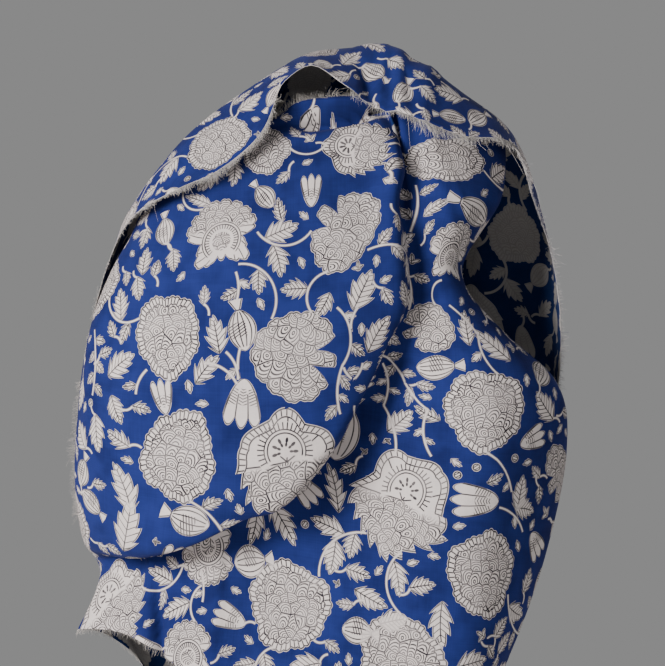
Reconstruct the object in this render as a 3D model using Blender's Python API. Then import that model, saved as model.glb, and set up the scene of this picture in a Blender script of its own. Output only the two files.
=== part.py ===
"""Block printed cotton fabric: one cut length hung up in soft folds, in metres, +Z up, front towards -Y."""

import math

import bmesh
import bpy
from mathutils import Vector

for item in list(bpy.data.objects):
    bpy.data.objects.remove(item, do_unlink=True)

# Driving sizes in millimetres. The origin is the highest point of the crown, where the cloth is held.
# The tables state places as they look on the photograph's plane, x to the right and z up, with a depth y
# that grows away from the eye; the eye stands a view distance in front of the crown.
MM = 0.001
THICKNESS = 1.5
VIEW_DISTANCE = 3500.0
VIEW_CENTRE = (-47.0, -261.0)
CROWN_DEPTH = -8.0

# Rows of the sheet from the torn top edge to the hem, and how many strips lie between one row and the next.
ROWS = ("edge", "brow", "chest", "belly", "lip", "pocket", "lap", "hem")
STRIPS = (4, 5, 6, 7, 4, 5, 6)
COLUMN_STEP = 19.0

# Hood: from the torn edge over the crown and down the back. Columns: torn edge and turn-over in x, y, z,
# bearing on the back in degrees from the right hand side, and the height of the hem.
HOOD = {
    "rim_foot": ((146, 10, -372), (145, 28, -376), 12, -676),
    "rim_low": ((156, -4, -300), (150, 34, -300), 22, -678),
    "rim_middle": ((157, -12, -240), (150, 36, -238), 33, -680),
    "rim_high": ((148, -20, -186), (142, 34, -176), 43, -680),
    "temple": ((132, -32, -138), (126, 20, -115), 52, -682),
    "corner": ((112, -60, -92), (98, -14, -68), 61, -680),
    "brim": ((72, -86, -84), (67, -26, -43), 70, -678),
    "gather": ((36, -94, -70), (22, -20, -14), 78, -676),
    "knot": ((-3, -86, -57), (0, -8, -0.75), 86, -674),
    "hollow_right": ((-36, -80, -37), (-34, -6, -5), 92, -672),
    "hollow_top": ((-66, -72, -19), (-68, -8, -9), 98, -668),
    "hollow_left": ((-90, -80, -34), (-100, -12, -25), 105, -662),
    "band": ((-112, -92, -82), (-138, -20, -50), 115, -652),
    "band_low": ((-150, -96, -116), (-174, -28, -80), 127, -640),
    "ear": ((-186, -92, -132), (-202, -32, -112), 139, -622),
    "ear_low": ((-228, -66, -156), (-236, -14, -160), 151, -602),
    "nape": ((-252, -18, -202), (-251, 14, -212), 161, -580),
    "nape_low": ((-268, 2, -270), (-262, 24, -276), 168, -556),
}

# Front: from the hidden top edge down the big pouch and the right panel. Columns are the named rows.
FRONT = {
    "seam": (
        (-272, -2, -329), (-270, 5, -340), (-268, 14, -358), (-266, 21, -400),
        (-264, 20, -440), (-256, 18, -470), (-252, 14, -500), (-250, 12, -532),
    ),
    "side": (
        (-243, -16, -200), (-258, -38, -232), (-271, -54, -278), (-276, -60, -350),
        (-268, -42, -452), (-252, -22, -466), (-258, -26, -494), (-275, -30, -528),
    ),
    "cheek": (
        (-216, -46, -147), (-236, -68, -186), (-252, -96, -236), (-254, -116, -332),
        (-222, -96, -461), (-214, -58, -452), (-220, -56, -492), (-236, -54, -531),
    ),
    "crest": (
        (-152, -62, -104), (-152, -94, -148), (-153, -130, -202), (-166, -156, -322),
        (-156, -130, -446), (-156, -84, -424), (-170, -78, -490), (-188, -72, -560),
    ),
    "flank": (
        (-77, -58, -57), (-66, -88, -106), (-60, -124, -172), (-76, -158, -296),
        (-92, -144, -416), (-90, -94, -392), (-106, -88, -500), (-120, -82, -640),
    ),
    "brink": (
        (-12, -52, -54), (2, -84, -104), (8, -112, -158), (13, -126, -234),
        (-36, -136, -345), (-34, -100, -332), (-46, -98, -470), (-58, -88, -672),
    ),
    "valley": (
        (0, -44, -60), (8, -68, -104), (17, -88, -150), (26, -96, -200),
        (16, -106, -254), (12, -104, -292), (-2, -106, -450), (-14, -92, -678),
    ),
    "ridge": (
        (20, -48, -64), (28, -74, -104), (36, -96, -142), (41, -102, -198),
        (46, -112, -268), (46, -116, -318), (40, -118, -468), (30, -102, -680),
    ),
    "face": (
        (60, -50, -72), (66, -72, -106), (70, -92, -146), (58, -92, -204),
        (96, -114, -296), (102, -118, -350), (88, -112, -480), (56, -94, -680),
    ),
    "edge": (
        (106, -22, -94), (106, -32, -116), (103, -44, -141), (70, -64, -216),
        (154, -56, -306), (166, -44, -362), (144, -42, -464), (55, -40, -680),
    ),
    "tuck": (
        (90, 4, -102), (90, -4, -122), (86, -8, -146), (58, -26, -218),
        (138, -8, -314), (146, 4, -362), (122, 4, -468), (46, 0, -680),
    ),
}

# Back of the cloth at a few heights. Columns: height, left edge, right edge, depth behind the front plane.
BACK = (
    (10.0, -60.0, 4.0, -4.0),
    (-19.0, -98.0, 26.0, 34.0),
    (-51.0, -146.0, 72.0, 58.0),
    (-84.0, -188.0, 100.0, 74.0),
    (-116.0, -206.0, 118.0, 86.0),
    (-159.0, -242.0, 134.0, 97.0),
    (-202.0, -254.0, 143.0, 104.0),
    (-256.0, -262.0, 150.0, 108.0),
    (-321.0, -266.0, 152.0, 108.0),
    (-397.0, -264.0, 148.0, 104.0),
    (-462.0, -256.0, 126.0, 100.0),
    (-525.0, -248.0, 106.0, 97.0),
    (-560.0, -218.0, 94.0, 95.0),
    (-690.0, -200.0, 62.0, 88.0),
)
BACK_PLANE = 18.0
BACK_ROUND = 2.4
BACK_SHARES = (0.10, 0.26, 0.44, 0.56, 0.76, 1.0)

# Smaller folds pressed into the sheet. Columns: zone, start and end in x and z, half widths on the left
# and right of the line, and height, outwards when positive.
FOLDS = {
    "crease under the gather": ("front", (3, -62), (5, -118), 18, 5, 5.0),
    "first pleat at the gather": ("front", (16, -66), (20, -160), 5, 5, 3.5),
    "second pleat at the gather": ("front", (32, -70), (52, -146), 6, 6, 3.5),
    "valley beside the pouch": ("front", (24, -130), (38, -225), 13, 13, -5.0),
    "roll above the valley": ("front", (4, -130), (8, -235), 12, 10, 5.0),
    "fold from the waist": ("front", (66, -222), (122, -300), 16, 10, 4.0),
    "dent of the cheek": ("front", (-228, -180), (-256, -330), 14, 14, -4.0),
    "sag of the pouch": ("front", (-196, -408), (-118, -428), 18, 18, -5.0),
    "roll on the pouch": ("front", (-70, -120), (-30, -210), 22, 22, 3.0),
    "hollow on the pouch": ("front", (-120, -140), (-150, -190), 20, 20, -3.0),
    "lip crease": ("front", (-40, -352), (-96, -410), 9, 9, 3.0),
    "left layer over the panel": ("lap", (-142, -440), (-142, -545), 26, 4, 5.0),
    "fold under the side": ("lap", (-204, -470), (-210, -520), 8, 8, 4.0),
    "crease over the knot": ("hood", (-16, -42), (-10, -22), 7, 7, -4.0),
    "pleat over the gather": ("hood", (12, -52), (14, -22), 5, 5, 3.0),
    "crease over the brim": ("hood", (30, -62), (40, -28), 9, 9, 3.5),
    "band crease": ("hood", (-108, -50), (-196, -122), 8, 8, 3.0),
    "back fold on the left": ("back", (-150, -120), (-170, -600), 26, 26, 9.0),
    "back fold in the middle": ("back", (-60, -60), (-78, -640), 22, 22, -8.0),
    "back fold on the right": ("back", (40, -90), (20, -640), 26, 26, 9.0),
    "back valley on the right": ("back", (96, -150), (74, -600), 18, 18, -7.0),
}
SWELLS = ((0.021, 0.013, 0.4, 1.3), (-0.034, 0.027, 1.9, 0.9), (0.052, -0.047, 4.0, 0.6))


def between(table, height):
    """Row of the back table at a height, straight between the rows stated."""
    for upper, lower in zip(table, table[1:]):
        if lower[0] <= height <= upper[0]:
            share = (upper[0] - height) / (upper[0] - lower[0])
            return [a + (b - a) * share for a, b in zip(upper, lower)]
    return list(table[0] if height > table[0][0] else table[-1])


def back_point(bearing, height):
    """Place on the rounded back at a bearing and a height."""
    _, left, right, depth = between(BACK, height)
    angle = math.radians(bearing)
    across = math.copysign(abs(math.cos(angle)) ** (2.0 / BACK_ROUND), math.cos(angle))
    behind = math.sin(angle) ** (2.0 / BACK_ROUND)
    middle = (left + right) / 2.0
    half = (right - left) / 2.0
    return Vector((middle + half * across, BACK_PLANE + (depth - BACK_PLANE) * behind, height))


def hood_station(edge, over, bearing, hem):
    """Named rows of one hood station: torn edge, turn-over, then down the back to the hem."""
    points = [Vector(edge), Vector(over)]
    for share in BACK_SHARES:
        points.append(back_point(bearing, over[2] + (hem - over[2]) * share))
    return points


def spline(points, places):
    """Smooth curve through the points, read at fractional places counted in points."""
    curve = []
    last = len(points) - 1
    for place in places:
        first = min(int(place), last - 1)
        part = place - first
        b = points[first]
        c = points[first + 1]
        a = points[first - 1] if first > 0 else b + (b - c) * 0.5
        d = points[first + 2] if first + 2 <= last else c + (c - b) * 0.5
        ab = max((b - a).length, 1.0) ** 0.5
        bc = max((c - b).length, 1.0) ** 0.5
        cd = max((d - c).length, 1.0) ** 0.5
        leave = ((b - a) / ab - (c - a) / (ab + bc) + (c - b) / bc) * bc
        reach = ((c - b) / bc - (d - b) / (bc + cd) + (d - c) / cd) * bc
        cube = part ** 3
        square = part ** 2
        curve.append(
            b * (2 * cube - 3 * square + 1)
            + leave * (cube - 2 * square + part)
            + c * (3 * square - 2 * cube)
            + reach * (cube - square)
        )
    return curve


def as_stands(point):
    """Place in space of a point measured on the photograph at its depth: what is nearer looks larger."""
    depth = point.y - CROWN_DEPTH
    scale = (VIEW_DISTANCE + depth) / VIEW_DISTANCE
    x = VIEW_CENTRE[0] + (point.x - VIEW_CENTRE[0]) * scale
    z = VIEW_CENTRE[1] + (point.z - VIEW_CENTRE[1]) * scale
    return Vector((x, depth, z))


def row_places():
    """Fractional row of every strip edge down the sheet."""
    places = [0.0]
    for row, count in enumerate(STRIPS):
        places += [row + (step + 1) / count for step in range(count)]
    return places


def sheet_net():
    """Net of points across and down the cloth, with the zone of each column."""
    stations = [hood_station(*row) for row in HOOD.values()]
    stations += [[Vector(p) for p in row] for row in FRONT.values()]
    places = row_places()
    lines = [spline(station, places) for station in stations]
    columns = [0.0]
    for index in range(len(lines) - 1):
        gaps = [(a - b).length for a, b in zip(lines[index], lines[index + 1])]
        count = max(1, round(max(sum(gaps) / len(gaps), 0.6 * max(gaps)) / COLUMN_STEP))
        columns += [index + (step + 1) / count for step in range(count)]
    across = [spline([line[k] for line in lines], columns) for k in range(len(places))]
    net = [[as_stands(across[k][j]) for k in range(len(places))] for j in range(len(columns))]
    return net, columns, places


def zone_weight(zone, column, row):
    """How far a net place belongs to a zone of the cloth, 0 to 1."""
    seam = len(HOOD) - 0.5
    front = min(max((column - seam) / 0.8, 0.0), 1.0)
    over = min(max((row - 0.9) / 0.5, 0.0), 1.0)
    below = min(max((row - 4.6) / 0.5, 0.0), 1.0)
    return {
        "front": front * (1.0 - below),
        "lap": front * below,
        "hood": (1.0 - front) * (1.0 - over),
        "back": (1.0 - front) * over,
    }[zone]


def outward(net):
    """Direction out of the printed face at every place of the net."""
    normals = []
    for j in range(len(net)):
        line = []
        for k in range(len(net[0])):
            side = net[min(j + 1, len(net) - 1)][k] - net[max(j - 1, 0)][k]
            down = net[j][min(k + 1, len(net[0]) - 1)] - net[j][max(k - 1, 0)]
            line.append(down.cross(side).normalized())
        normals.append(line)
    return normals


def press_folds(net, columns, places):
    """Raise and sink the smaller folds and the slight swells of hand-hung cloth."""
    normals = outward(net)
    for j, column in enumerate(columns):
        for k, row in enumerate(places):
            point = net[j][k]
            lift = 0.0
            for zone, start, end, left, right, height in FOLDS.values():
                weight = zone_weight(zone, column, row)
                if weight == 0.0:
                    continue
                run = Vector((end[0] - start[0], end[1] - start[1]))
                off = Vector((point.x - start[0], point.z - start[1]))
                along = off.dot(run) / run.length_squared
                aside = (off.x * run.y - off.y * run.x) / run.length
                width = right if aside * run.y > 0 else left
                past = max(0.0, -along, along - 1.0) * run.length
                lift += weight * height * math.exp(-((aside / width) ** 2) - (past / 22.0) ** 2)
            for sx, sz, phase, height in SWELLS:
                lift += height * math.sin(point.x * sx + point.z * sz + phase)
            net[j][k] = point + normals[j][k] * lift
    return net


def cloth_solid(net):
    """Closed sheet of even thickness on both sides of the net."""
    normals = outward(net)
    wide = len(net)
    tall = len(net[0])
    mesh = bmesh.new()
    faces = []
    for half in (THICKNESS / 2.0, -THICKNESS / 2.0):
        layer = []
        for j in range(wide):
            layer.append([mesh.verts.new((net[j][k] + normals[j][k] * half) * MM) for k in range(tall)])
        faces.append(layer)
    outer, inner = faces
    for j in range(wide - 1):
        for k in range(tall - 1):
            mesh.faces.new((outer[j][k], outer[j][k + 1], outer[j + 1][k + 1], outer[j + 1][k]))
            mesh.faces.new((inner[j][k], inner[j + 1][k], inner[j + 1][k + 1], inner[j][k + 1]))
    for j in range(wide - 1):
        mesh.faces.new((outer[j][0], outer[j + 1][0], inner[j + 1][0], inner[j][0]))
        mesh.faces.new((outer[j + 1][-1], outer[j][-1], inner[j][-1], inner[j + 1][-1]))
    for k in range(tall - 1):
        mesh.faces.new((outer[0][k + 1], outer[0][k], inner[0][k], inner[0][k + 1]))
        mesh.faces.new((outer[-1][k], outer[-1][k + 1], inner[-1][k + 1], inner[-1][k]))
    bmesh.ops.triangulate(mesh, faces=mesh.faces[:])
    data = bpy.data.meshes.new("cloth")
    mesh.to_mesh(data)
    mesh.free()
    return data


def cotton():
    """Printed cotton in its main colour."""
    material = bpy.data.materials.new("indigo_printed_cotton")
    material.use_nodes = True
    shader = material.node_tree.nodes["Principled BSDF"]
    shader.inputs["Base Color"].default_value = (0.03, 0.08, 0.33, 1.0)
    shader.inputs["Roughness"].default_value = 0.85
    return material


net, columns, places = sheet_net()
net = press_folds(net, columns, places)
cloth = bpy.data.objects.new("cloth", cloth_solid(net))
cloth.data.materials.append(cotton())
bpy.context.scene.collection.objects.link(cloth)
for polygon in cloth.data.polygons:
    polygon.use_smooth = True
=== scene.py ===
# %% [markdown]
# # A cut length of block printed cotton, hung in folds
# The object is one piece of plain weave cotton with raw, frayed edges. It was dyed royal blue around
# a reserved flower trellis and then printed with a fine dark outline block. It hangs from its crown:
# the cloth comes over from the back like a hood, wraps round the left side into a big hanging pouch,
# and falls in a long panel on the right. This first cell opens the shared frame and brings in the plain
# solid from model.glb.

import math
import random

import bmesh
import bpy
import numpy as np
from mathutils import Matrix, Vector


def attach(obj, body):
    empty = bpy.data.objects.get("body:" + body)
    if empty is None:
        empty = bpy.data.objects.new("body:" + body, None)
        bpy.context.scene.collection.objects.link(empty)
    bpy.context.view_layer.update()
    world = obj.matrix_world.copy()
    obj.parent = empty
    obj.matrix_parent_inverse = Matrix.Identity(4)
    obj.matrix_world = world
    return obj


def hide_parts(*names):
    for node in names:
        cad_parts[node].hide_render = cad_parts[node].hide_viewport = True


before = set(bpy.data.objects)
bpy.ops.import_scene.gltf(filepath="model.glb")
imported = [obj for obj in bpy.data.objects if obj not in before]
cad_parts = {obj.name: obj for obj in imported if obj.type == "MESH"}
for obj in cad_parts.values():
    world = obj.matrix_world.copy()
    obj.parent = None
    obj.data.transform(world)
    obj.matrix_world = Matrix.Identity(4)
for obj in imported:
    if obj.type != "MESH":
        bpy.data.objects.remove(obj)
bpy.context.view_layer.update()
MM = 0.001

# %% [markdown]
# ## The folds
# A draped cloth could be simulated, but these folds were arranged by hand, so they are shaped one by one
# too. The sheet is a net: stations run round the cloth and rows run down it. The hood stations start
# at the torn edge, turn over the crown and go down the rounded back; the front stations go down the
# pouch, round its lip, up behind it and down again. The tables hold the same places in millimetres as
# the plain solid does, measured on the photograph's plane with a depth that grows away from the eye.

# %% Sizes of the drape
VIEW_DISTANCE = 3500.0
VIEW_CENTRE = (-47.0, -261.0)
CROWN_DEPTH = -8.0
STRIPS = (4, 5, 6, 7, 4, 5, 6)
COLUMN_STEP = 19.0
FINER = 4
CLOTH_THICKNESS = 0.45

# %% Tables of the folds
# Hood: from the torn edge over the crown and down the back. Columns: torn edge and turn-over in x, y, z,
# bearing on the back in degrees from the right hand side, and the height of the hem.
HOOD = {
    "rim_foot": ((146, 10, -372), (145, 28, -376), 12, -676),
    "rim_low": ((156, -4, -300), (150, 34, -300), 22, -678),
    "rim_middle": ((157, -12, -240), (150, 36, -238), 33, -680),
    "rim_high": ((148, -20, -186), (142, 34, -176), 43, -680),
    "temple": ((132, -32, -138), (126, 20, -115), 52, -682),
    "corner": ((112, -60, -92), (98, -14, -68), 61, -680),
    "brim": ((72, -86, -84), (67, -26, -43), 70, -678),
    "gather": ((36, -94, -70), (22, -20, -14), 78, -676),
    "knot": ((-3, -86, -57), (0, -8, -0.75), 86, -674),
    "hollow_right": ((-36, -80, -37), (-34, -6, -5), 92, -672),
    "hollow_top": ((-66, -72, -19), (-68, -8, -9), 98, -668),
    "hollow_left": ((-90, -80, -34), (-100, -12, -25), 105, -662),
    "band": ((-112, -92, -82), (-138, -20, -50), 115, -652),
    "band_low": ((-150, -96, -116), (-174, -28, -80), 127, -640),
    "ear": ((-186, -92, -132), (-202, -32, -112), 139, -622),
    "ear_low": ((-228, -66, -156), (-236, -14, -160), 151, -602),
    "nape": ((-252, -18, -202), (-251, 14, -212), 161, -580),
    "nape_low": ((-268, 2, -270), (-262, 24, -276), 168, -556),
}

# Front: from the hidden top edge down the big pouch and the right panel. Columns are the named rows.
FRONT = {
    "seam": (
        (-272, -2, -329), (-270, 5, -340), (-268, 14, -358), (-266, 21, -400),
        (-264, 20, -440), (-256, 18, -470), (-252, 14, -500), (-250, 12, -532),
    ),
    "side": (
        (-243, -16, -200), (-258, -38, -232), (-271, -54, -278), (-276, -60, -350),
        (-268, -42, -452), (-252, -22, -466), (-258, -26, -494), (-275, -30, -528),
    ),
    "cheek": (
        (-216, -46, -147), (-236, -68, -186), (-252, -96, -236), (-254, -116, -332),
        (-222, -96, -461), (-214, -58, -452), (-220, -56, -492), (-236, -54, -531),
    ),
    "crest": (
        (-152, -62, -104), (-152, -94, -148), (-153, -130, -202), (-166, -156, -322),
        (-156, -130, -446), (-156, -84, -424), (-170, -78, -490), (-188, -72, -560),
    ),
    "flank": (
        (-77, -58, -57), (-66, -88, -106), (-60, -124, -172), (-76, -158, -296),
        (-92, -144, -416), (-90, -94, -392), (-106, -88, -500), (-120, -82, -640),
    ),
    "brink": (
        (-12, -52, -54), (2, -84, -104), (8, -112, -158), (13, -126, -234),
        (-36, -136, -345), (-34, -100, -332), (-46, -98, -470), (-58, -88, -672),
    ),
    "valley": (
        (0, -44, -60), (8, -68, -104), (17, -88, -150), (26, -96, -200),
        (16, -106, -254), (12, -104, -292), (-2, -106, -450), (-14, -92, -678),
    ),
    "ridge": (
        (20, -48, -64), (28, -74, -104), (36, -96, -142), (41, -102, -198),
        (46, -112, -268), (46, -116, -318), (40, -118, -468), (30, -102, -680),
    ),
    "face": (
        (60, -50, -72), (66, -72, -106), (70, -92, -146), (58, -92, -204),
        (96, -114, -296), (102, -118, -350), (88, -112, -480), (56, -94, -680),
    ),
    "edge": (
        (106, -22, -94), (106, -32, -116), (103, -44, -141), (70, -64, -216),
        (154, -56, -306), (166, -44, -362), (144, -42, -464), (55, -40, -680),
    ),
    "tuck": (
        (90, 4, -102), (90, -4, -122), (86, -8, -146), (58, -26, -218),
        (138, -8, -314), (146, 4, -362), (122, 4, -468), (46, 0, -680),
    ),
}

# Back of the cloth at a few heights. Columns: height, left edge, right edge, depth behind the front plane.
BACK = (
    (10.0, -60.0, 4.0, -4.0),
    (-19.0, -98.0, 26.0, 34.0),
    (-51.0, -146.0, 72.0, 58.0),
    (-84.0, -188.0, 100.0, 74.0),
    (-116.0, -206.0, 118.0, 86.0),
    (-159.0, -242.0, 134.0, 97.0),
    (-202.0, -254.0, 143.0, 104.0),
    (-256.0, -262.0, 150.0, 108.0),
    (-321.0, -266.0, 152.0, 108.0),
    (-397.0, -264.0, 148.0, 104.0),
    (-462.0, -256.0, 126.0, 100.0),
    (-525.0, -248.0, 106.0, 97.0),
    (-560.0, -218.0, 94.0, 95.0),
    (-690.0, -200.0, 62.0, 88.0),
)
BACK_PLANE = 18.0
BACK_ROUND = 2.4
BACK_SHARES = (0.10, 0.26, 0.44, 0.56, 0.76, 1.0)

# Smaller folds pressed into the sheet. Columns: zone, start and end in x and z, half widths on the left
# and right of the line, and height, outwards when positive.
FOLDS = {
    "crease under the gather": ("front", (3, -62), (5, -118), 18, 5, 5.0),
    "first pleat at the gather": ("front", (16, -66), (20, -160), 5, 5, 3.5),
    "second pleat at the gather": ("front", (32, -70), (52, -146), 6, 6, 3.5),
    "valley beside the pouch": ("front", (24, -130), (38, -225), 13, 13, -5.0),
    "roll above the valley": ("front", (4, -130), (8, -235), 12, 10, 5.0),
    "fold from the waist": ("front", (66, -222), (122, -300), 16, 10, 4.0),
    "dent of the cheek": ("front", (-228, -180), (-256, -330), 14, 14, -4.0),
    "sag of the pouch": ("front", (-196, -408), (-118, -428), 18, 18, -5.0),
    "roll on the pouch": ("front", (-70, -120), (-30, -210), 22, 22, 3.0),
    "hollow on the pouch": ("front", (-120, -140), (-150, -190), 20, 20, -3.0),
    "lip crease": ("front", (-40, -352), (-96, -410), 9, 9, 3.0),
    "left layer over the panel": ("lap", (-142, -440), (-142, -545), 26, 4, 5.0),
    "fold under the side": ("lap", (-204, -470), (-210, -520), 8, 8, 4.0),
    "crease over the knot": ("hood", (-16, -42), (-10, -22), 7, 7, -4.0),
    "pleat over the gather": ("hood", (12, -52), (14, -22), 5, 5, 3.0),
    "crease over the brim": ("hood", (30, -62), (40, -28), 9, 9, 3.5),
    "band crease": ("hood", (-108, -50), (-196, -122), 8, 8, 3.0),
    "back fold on the left": ("back", (-150, -120), (-170, -600), 26, 26, 9.0),
    "back fold in the middle": ("back", (-60, -60), (-78, -640), 22, 22, -8.0),
    "back fold on the right": ("back", (40, -90), (20, -640), 26, 26, 9.0),
    "back valley on the right": ("back", (96, -150), (74, -600), 18, 18, -7.0),
}
SWELLS = ((0.021, 0.013, 0.4, 1.3), (-0.034, 0.027, 1.9, 0.9), (0.052, -0.047, 4.0, 0.6))
print("hood stations:", len(HOOD), "front stations:", len(FRONT), "small folds:", len(FOLDS))

# %% [markdown]
# ## From the tables to a surface
# Each station is a smooth curve through its named rows, and each row is a smooth curve through the
# stations. Blender's own NURBS surfaces would need an even net, so the curve is worked out here: it
# passes through every place of the table and its tangents look at how far apart the places are,
# which keeps a tight lip next to a long panel free of bulges.

# %% Smooth curve through places
def between(table, height):
    """Row of the back table at a height, straight between the rows stated."""
    for upper, lower in zip(table, table[1:]):
        if lower[0] <= height <= upper[0]:
            share = (upper[0] - height) / (upper[0] - lower[0])
            return [a + (b - a) * share for a, b in zip(upper, lower)]
    return list(table[0] if height > table[0][0] else table[-1])


def back_point(bearing, height):
    """Place on the rounded back at a bearing and a height."""
    _, left, right, depth = between(BACK, height)
    angle = math.radians(bearing)
    across = math.copysign(abs(math.cos(angle)) ** (2.0 / BACK_ROUND), math.cos(angle))
    behind = math.sin(angle) ** (2.0 / BACK_ROUND)
    middle = (left + right) / 2.0
    half = (right - left) / 2.0
    return (middle + half * across, BACK_PLANE + (depth - BACK_PLANE) * behind, height)


def hood_station(edge, over, bearing, hem):
    """Named rows of one hood station: torn edge, turn-over, then down the back to the hem."""
    heights = [over[2] + (hem - over[2]) * share for share in BACK_SHARES]
    return [edge, over] + [back_point(bearing, height) for height in heights]


def spline(points, places):
    """Smooth curve through rows of points, read at fractional places; any number of curves at once."""
    points = np.asarray(points, dtype=float)
    places = np.asarray(places, dtype=float)
    before = points[:1] * 1.5 - points[1:2] * 0.5
    after = points[-1:] * 1.5 - points[-2:-1] * 0.5
    run = np.concatenate([before, points, after])
    steps = np.maximum(np.linalg.norm(np.diff(run, axis=0), axis=-1, keepdims=True), 1.0) ** 0.5
    first = np.minimum(places.astype(int), len(points) - 2)
    part = (places - first).reshape((-1,) + (1,) * (points.ndim - 1))
    a, b, c, d = run[first], run[first + 1], run[first + 2], run[first + 3]
    ab, bc, cd = steps[first], steps[first + 1], steps[first + 2]
    leave = ((b - a) / ab - (c - a) / (ab + bc) + (c - b) / bc) * bc
    reach = ((c - b) / bc - (d - b) / (bc + cd) + (d - c) / cd) * bc
    cube, square = part ** 3, part ** 2
    return (
        b * (2 * cube - 3 * square + 1)
        + leave * (cube - 2 * square + part)
        + c * (3 * square - 2 * cube)
        + reach * (cube - square)
    )


# %% Net of the sheet
def as_stands(net):
    """Places in space of places measured on the photograph at their depth: what is nearer looks larger."""
    depth = net[..., 1] - CROWN_DEPTH
    scale = (VIEW_DISTANCE + depth) / VIEW_DISTANCE
    x = VIEW_CENTRE[0] + (net[..., 0] - VIEW_CENTRE[0]) * scale
    z = VIEW_CENTRE[1] + (net[..., 2] - VIEW_CENTRE[1]) * scale
    return np.stack([x, depth, z], axis=-1)


def row_places(finer):
    """Fractional row of every strip edge down the sheet."""
    places = [0.0]
    for row, count in enumerate(STRIPS):
        steps = count * finer
        places += [row + (step + 1) / steps for step in range(steps)]
    return places


def sheet_net(finer):
    """Net of places across and down the cloth, with the fractional station and row of each line."""
    stations = [hood_station(*row) for row in HOOD.values()] + [list(row) for row in FRONT.values()]
    stations = np.array(stations)
    rough = spline(np.swapaxes(stations, 0, 1), row_places(1))
    gaps = np.linalg.norm(rough[:, 1:] - rough[:, :-1], axis=-1)
    columns = [0.0]
    for index in range(len(stations) - 1):
        wide = max(gaps[:, index].mean(), 0.6 * gaps[:, index].max())
        steps = max(1, round(wide / COLUMN_STEP)) * finer
        columns += [index + (step + 1) / steps for step in range(steps)]
    places = row_places(finer)
    lines = spline(np.swapaxes(stations, 0, 1), places)
    net = spline(np.swapaxes(lines, 0, 1), columns)
    return as_stands(net), np.array(columns), np.array(places)


def outward(net):
    """Direction out of the printed face at every place of the net."""
    side = np.empty_like(net)
    side[1:-1] = net[2:] - net[:-2]
    side[0] = net[1] - net[0]
    side[-1] = net[-1] - net[-2]
    down = np.empty_like(net)
    down[:, 1:-1] = net[:, 2:] - net[:, :-2]
    down[:, 0] = net[:, 1] - net[:, 0]
    down[:, -1] = net[:, -1] - net[:, -2]
    normal = np.cross(down, side)
    return normal / np.linalg.norm(normal, axis=-1, keepdims=True)


coarse = sheet_net(1)[0]
fine, fine_columns, fine_rows = sheet_net(FINER)
print("coarse net:", coarse.shape[:2], "fine net:", fine.shape[:2])

# %% [markdown]
# ## Laying the cloth flat
# A print follows the flat cloth, not the folds, so the net is laid flat before anything is drawn on
# it. Blender's minimum stretch unwrap does what a pattern maker does with paper: it flattens the
# sheet while keeping lengths as true as it can. The coarse net is enough, and the fine net reads its
# flat places from it with the same smooth curve.

# %% Flatten the sheet
UNWRAP_STEPS = 60


def flatten(net):
    """Flat places of the net as the unwrap gives them; they are scaled to millimetres and turned
    afterwards.
    """
    wide, tall = net.shape[:2]
    index = np.arange(wide * tall).reshape(wide, tall)
    quads = np.stack([index[:-1, :-1], index[:-1, 1:], index[1:, 1:], index[1:, :-1]], axis=-1)
    mesh = bpy.data.meshes.new("paper pattern")
    mesh.from_pydata((net.reshape(-1, 3) * MM).tolist(), [], quads.reshape(-1, 4).tolist())
    paper = bpy.data.objects.new("paper pattern", mesh)
    bpy.context.scene.collection.objects.link(paper)
    bpy.context.view_layer.objects.active = paper
    paper.select_set(True)
    mesh.uv_layers.new(name="flat")
    bpy.ops.object.mode_set(mode="EDIT")
    bpy.ops.mesh.select_all(action="SELECT")
    bpy.ops.uv.unwrap(method="MINIMUM_STRETCH", margin=0.0, iterations=UNWRAP_STEPS)
    bpy.ops.object.mode_set(mode="OBJECT")
    corners = np.empty(len(mesh.loops) * 2)
    mesh.uv_layers["flat"].data.foreach_get("uv", corners)
    owners = np.empty(len(mesh.loops), dtype=int)
    mesh.loops.foreach_get("vertex_index", owners)
    flat = np.empty((wide * tall, 2))
    flat[owners] = corners.reshape(-1, 2)
    bpy.data.objects.remove(paper, do_unlink=True)
    return flat.reshape(wide, tall, 2)


def net_area(net):
    """Area of the net, quad by quad."""
    one = net[1:, 1:] - net[:-1, :-1]
    two = net[1:, :-1] - net[:-1, 1:]
    if net.shape[-1] == 2:
        return np.abs(one[..., 0] * two[..., 1] - one[..., 1] * two[..., 0]) / 2.0
    return np.linalg.norm(np.cross(one, two), axis=-1) / 2.0


flat = flatten(coarse)
flat *= math.sqrt(net_area(coarse).sum() / net_area(flat).sum())
TURN_FLAT = math.radians(97.0)
cosine, sine = math.cos(TURN_FLAT), math.sin(TURN_FLAT)
turn = np.array([[cosine, sine], [-sine, cosine]])
flat = flat @ turn
flat -= flat.min(axis=(0, 1))
steps_across = np.arange(len(fine_columns)) / FINER
steps_down = np.arange(len(fine_rows)) / FINER
flat_fine = spline(np.swapaxes(spline(flat, steps_across), 0, 1), steps_down)
flat_fine = np.swapaxes(flat_fine, 0, 1)

# %% [markdown]
# ## Smaller folds
# The hand leaves a hanging cloth with many shallow folds: a hard crease where it was gathered, soft
# valleys beside the pouch, and a slight unevenness everywhere. A sculpting brush would make them, and
# here each one is a line with its own width on the left and on the right and a height, pressed along
# the direction that the printed face looks.

# %% Press the small folds
FOLD_FADE = 22.0
SEAM_BLEND = 0.8
ROW_BLEND = 0.5
OVER_ROW = 0.9
LAP_ROW = 4.6


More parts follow.
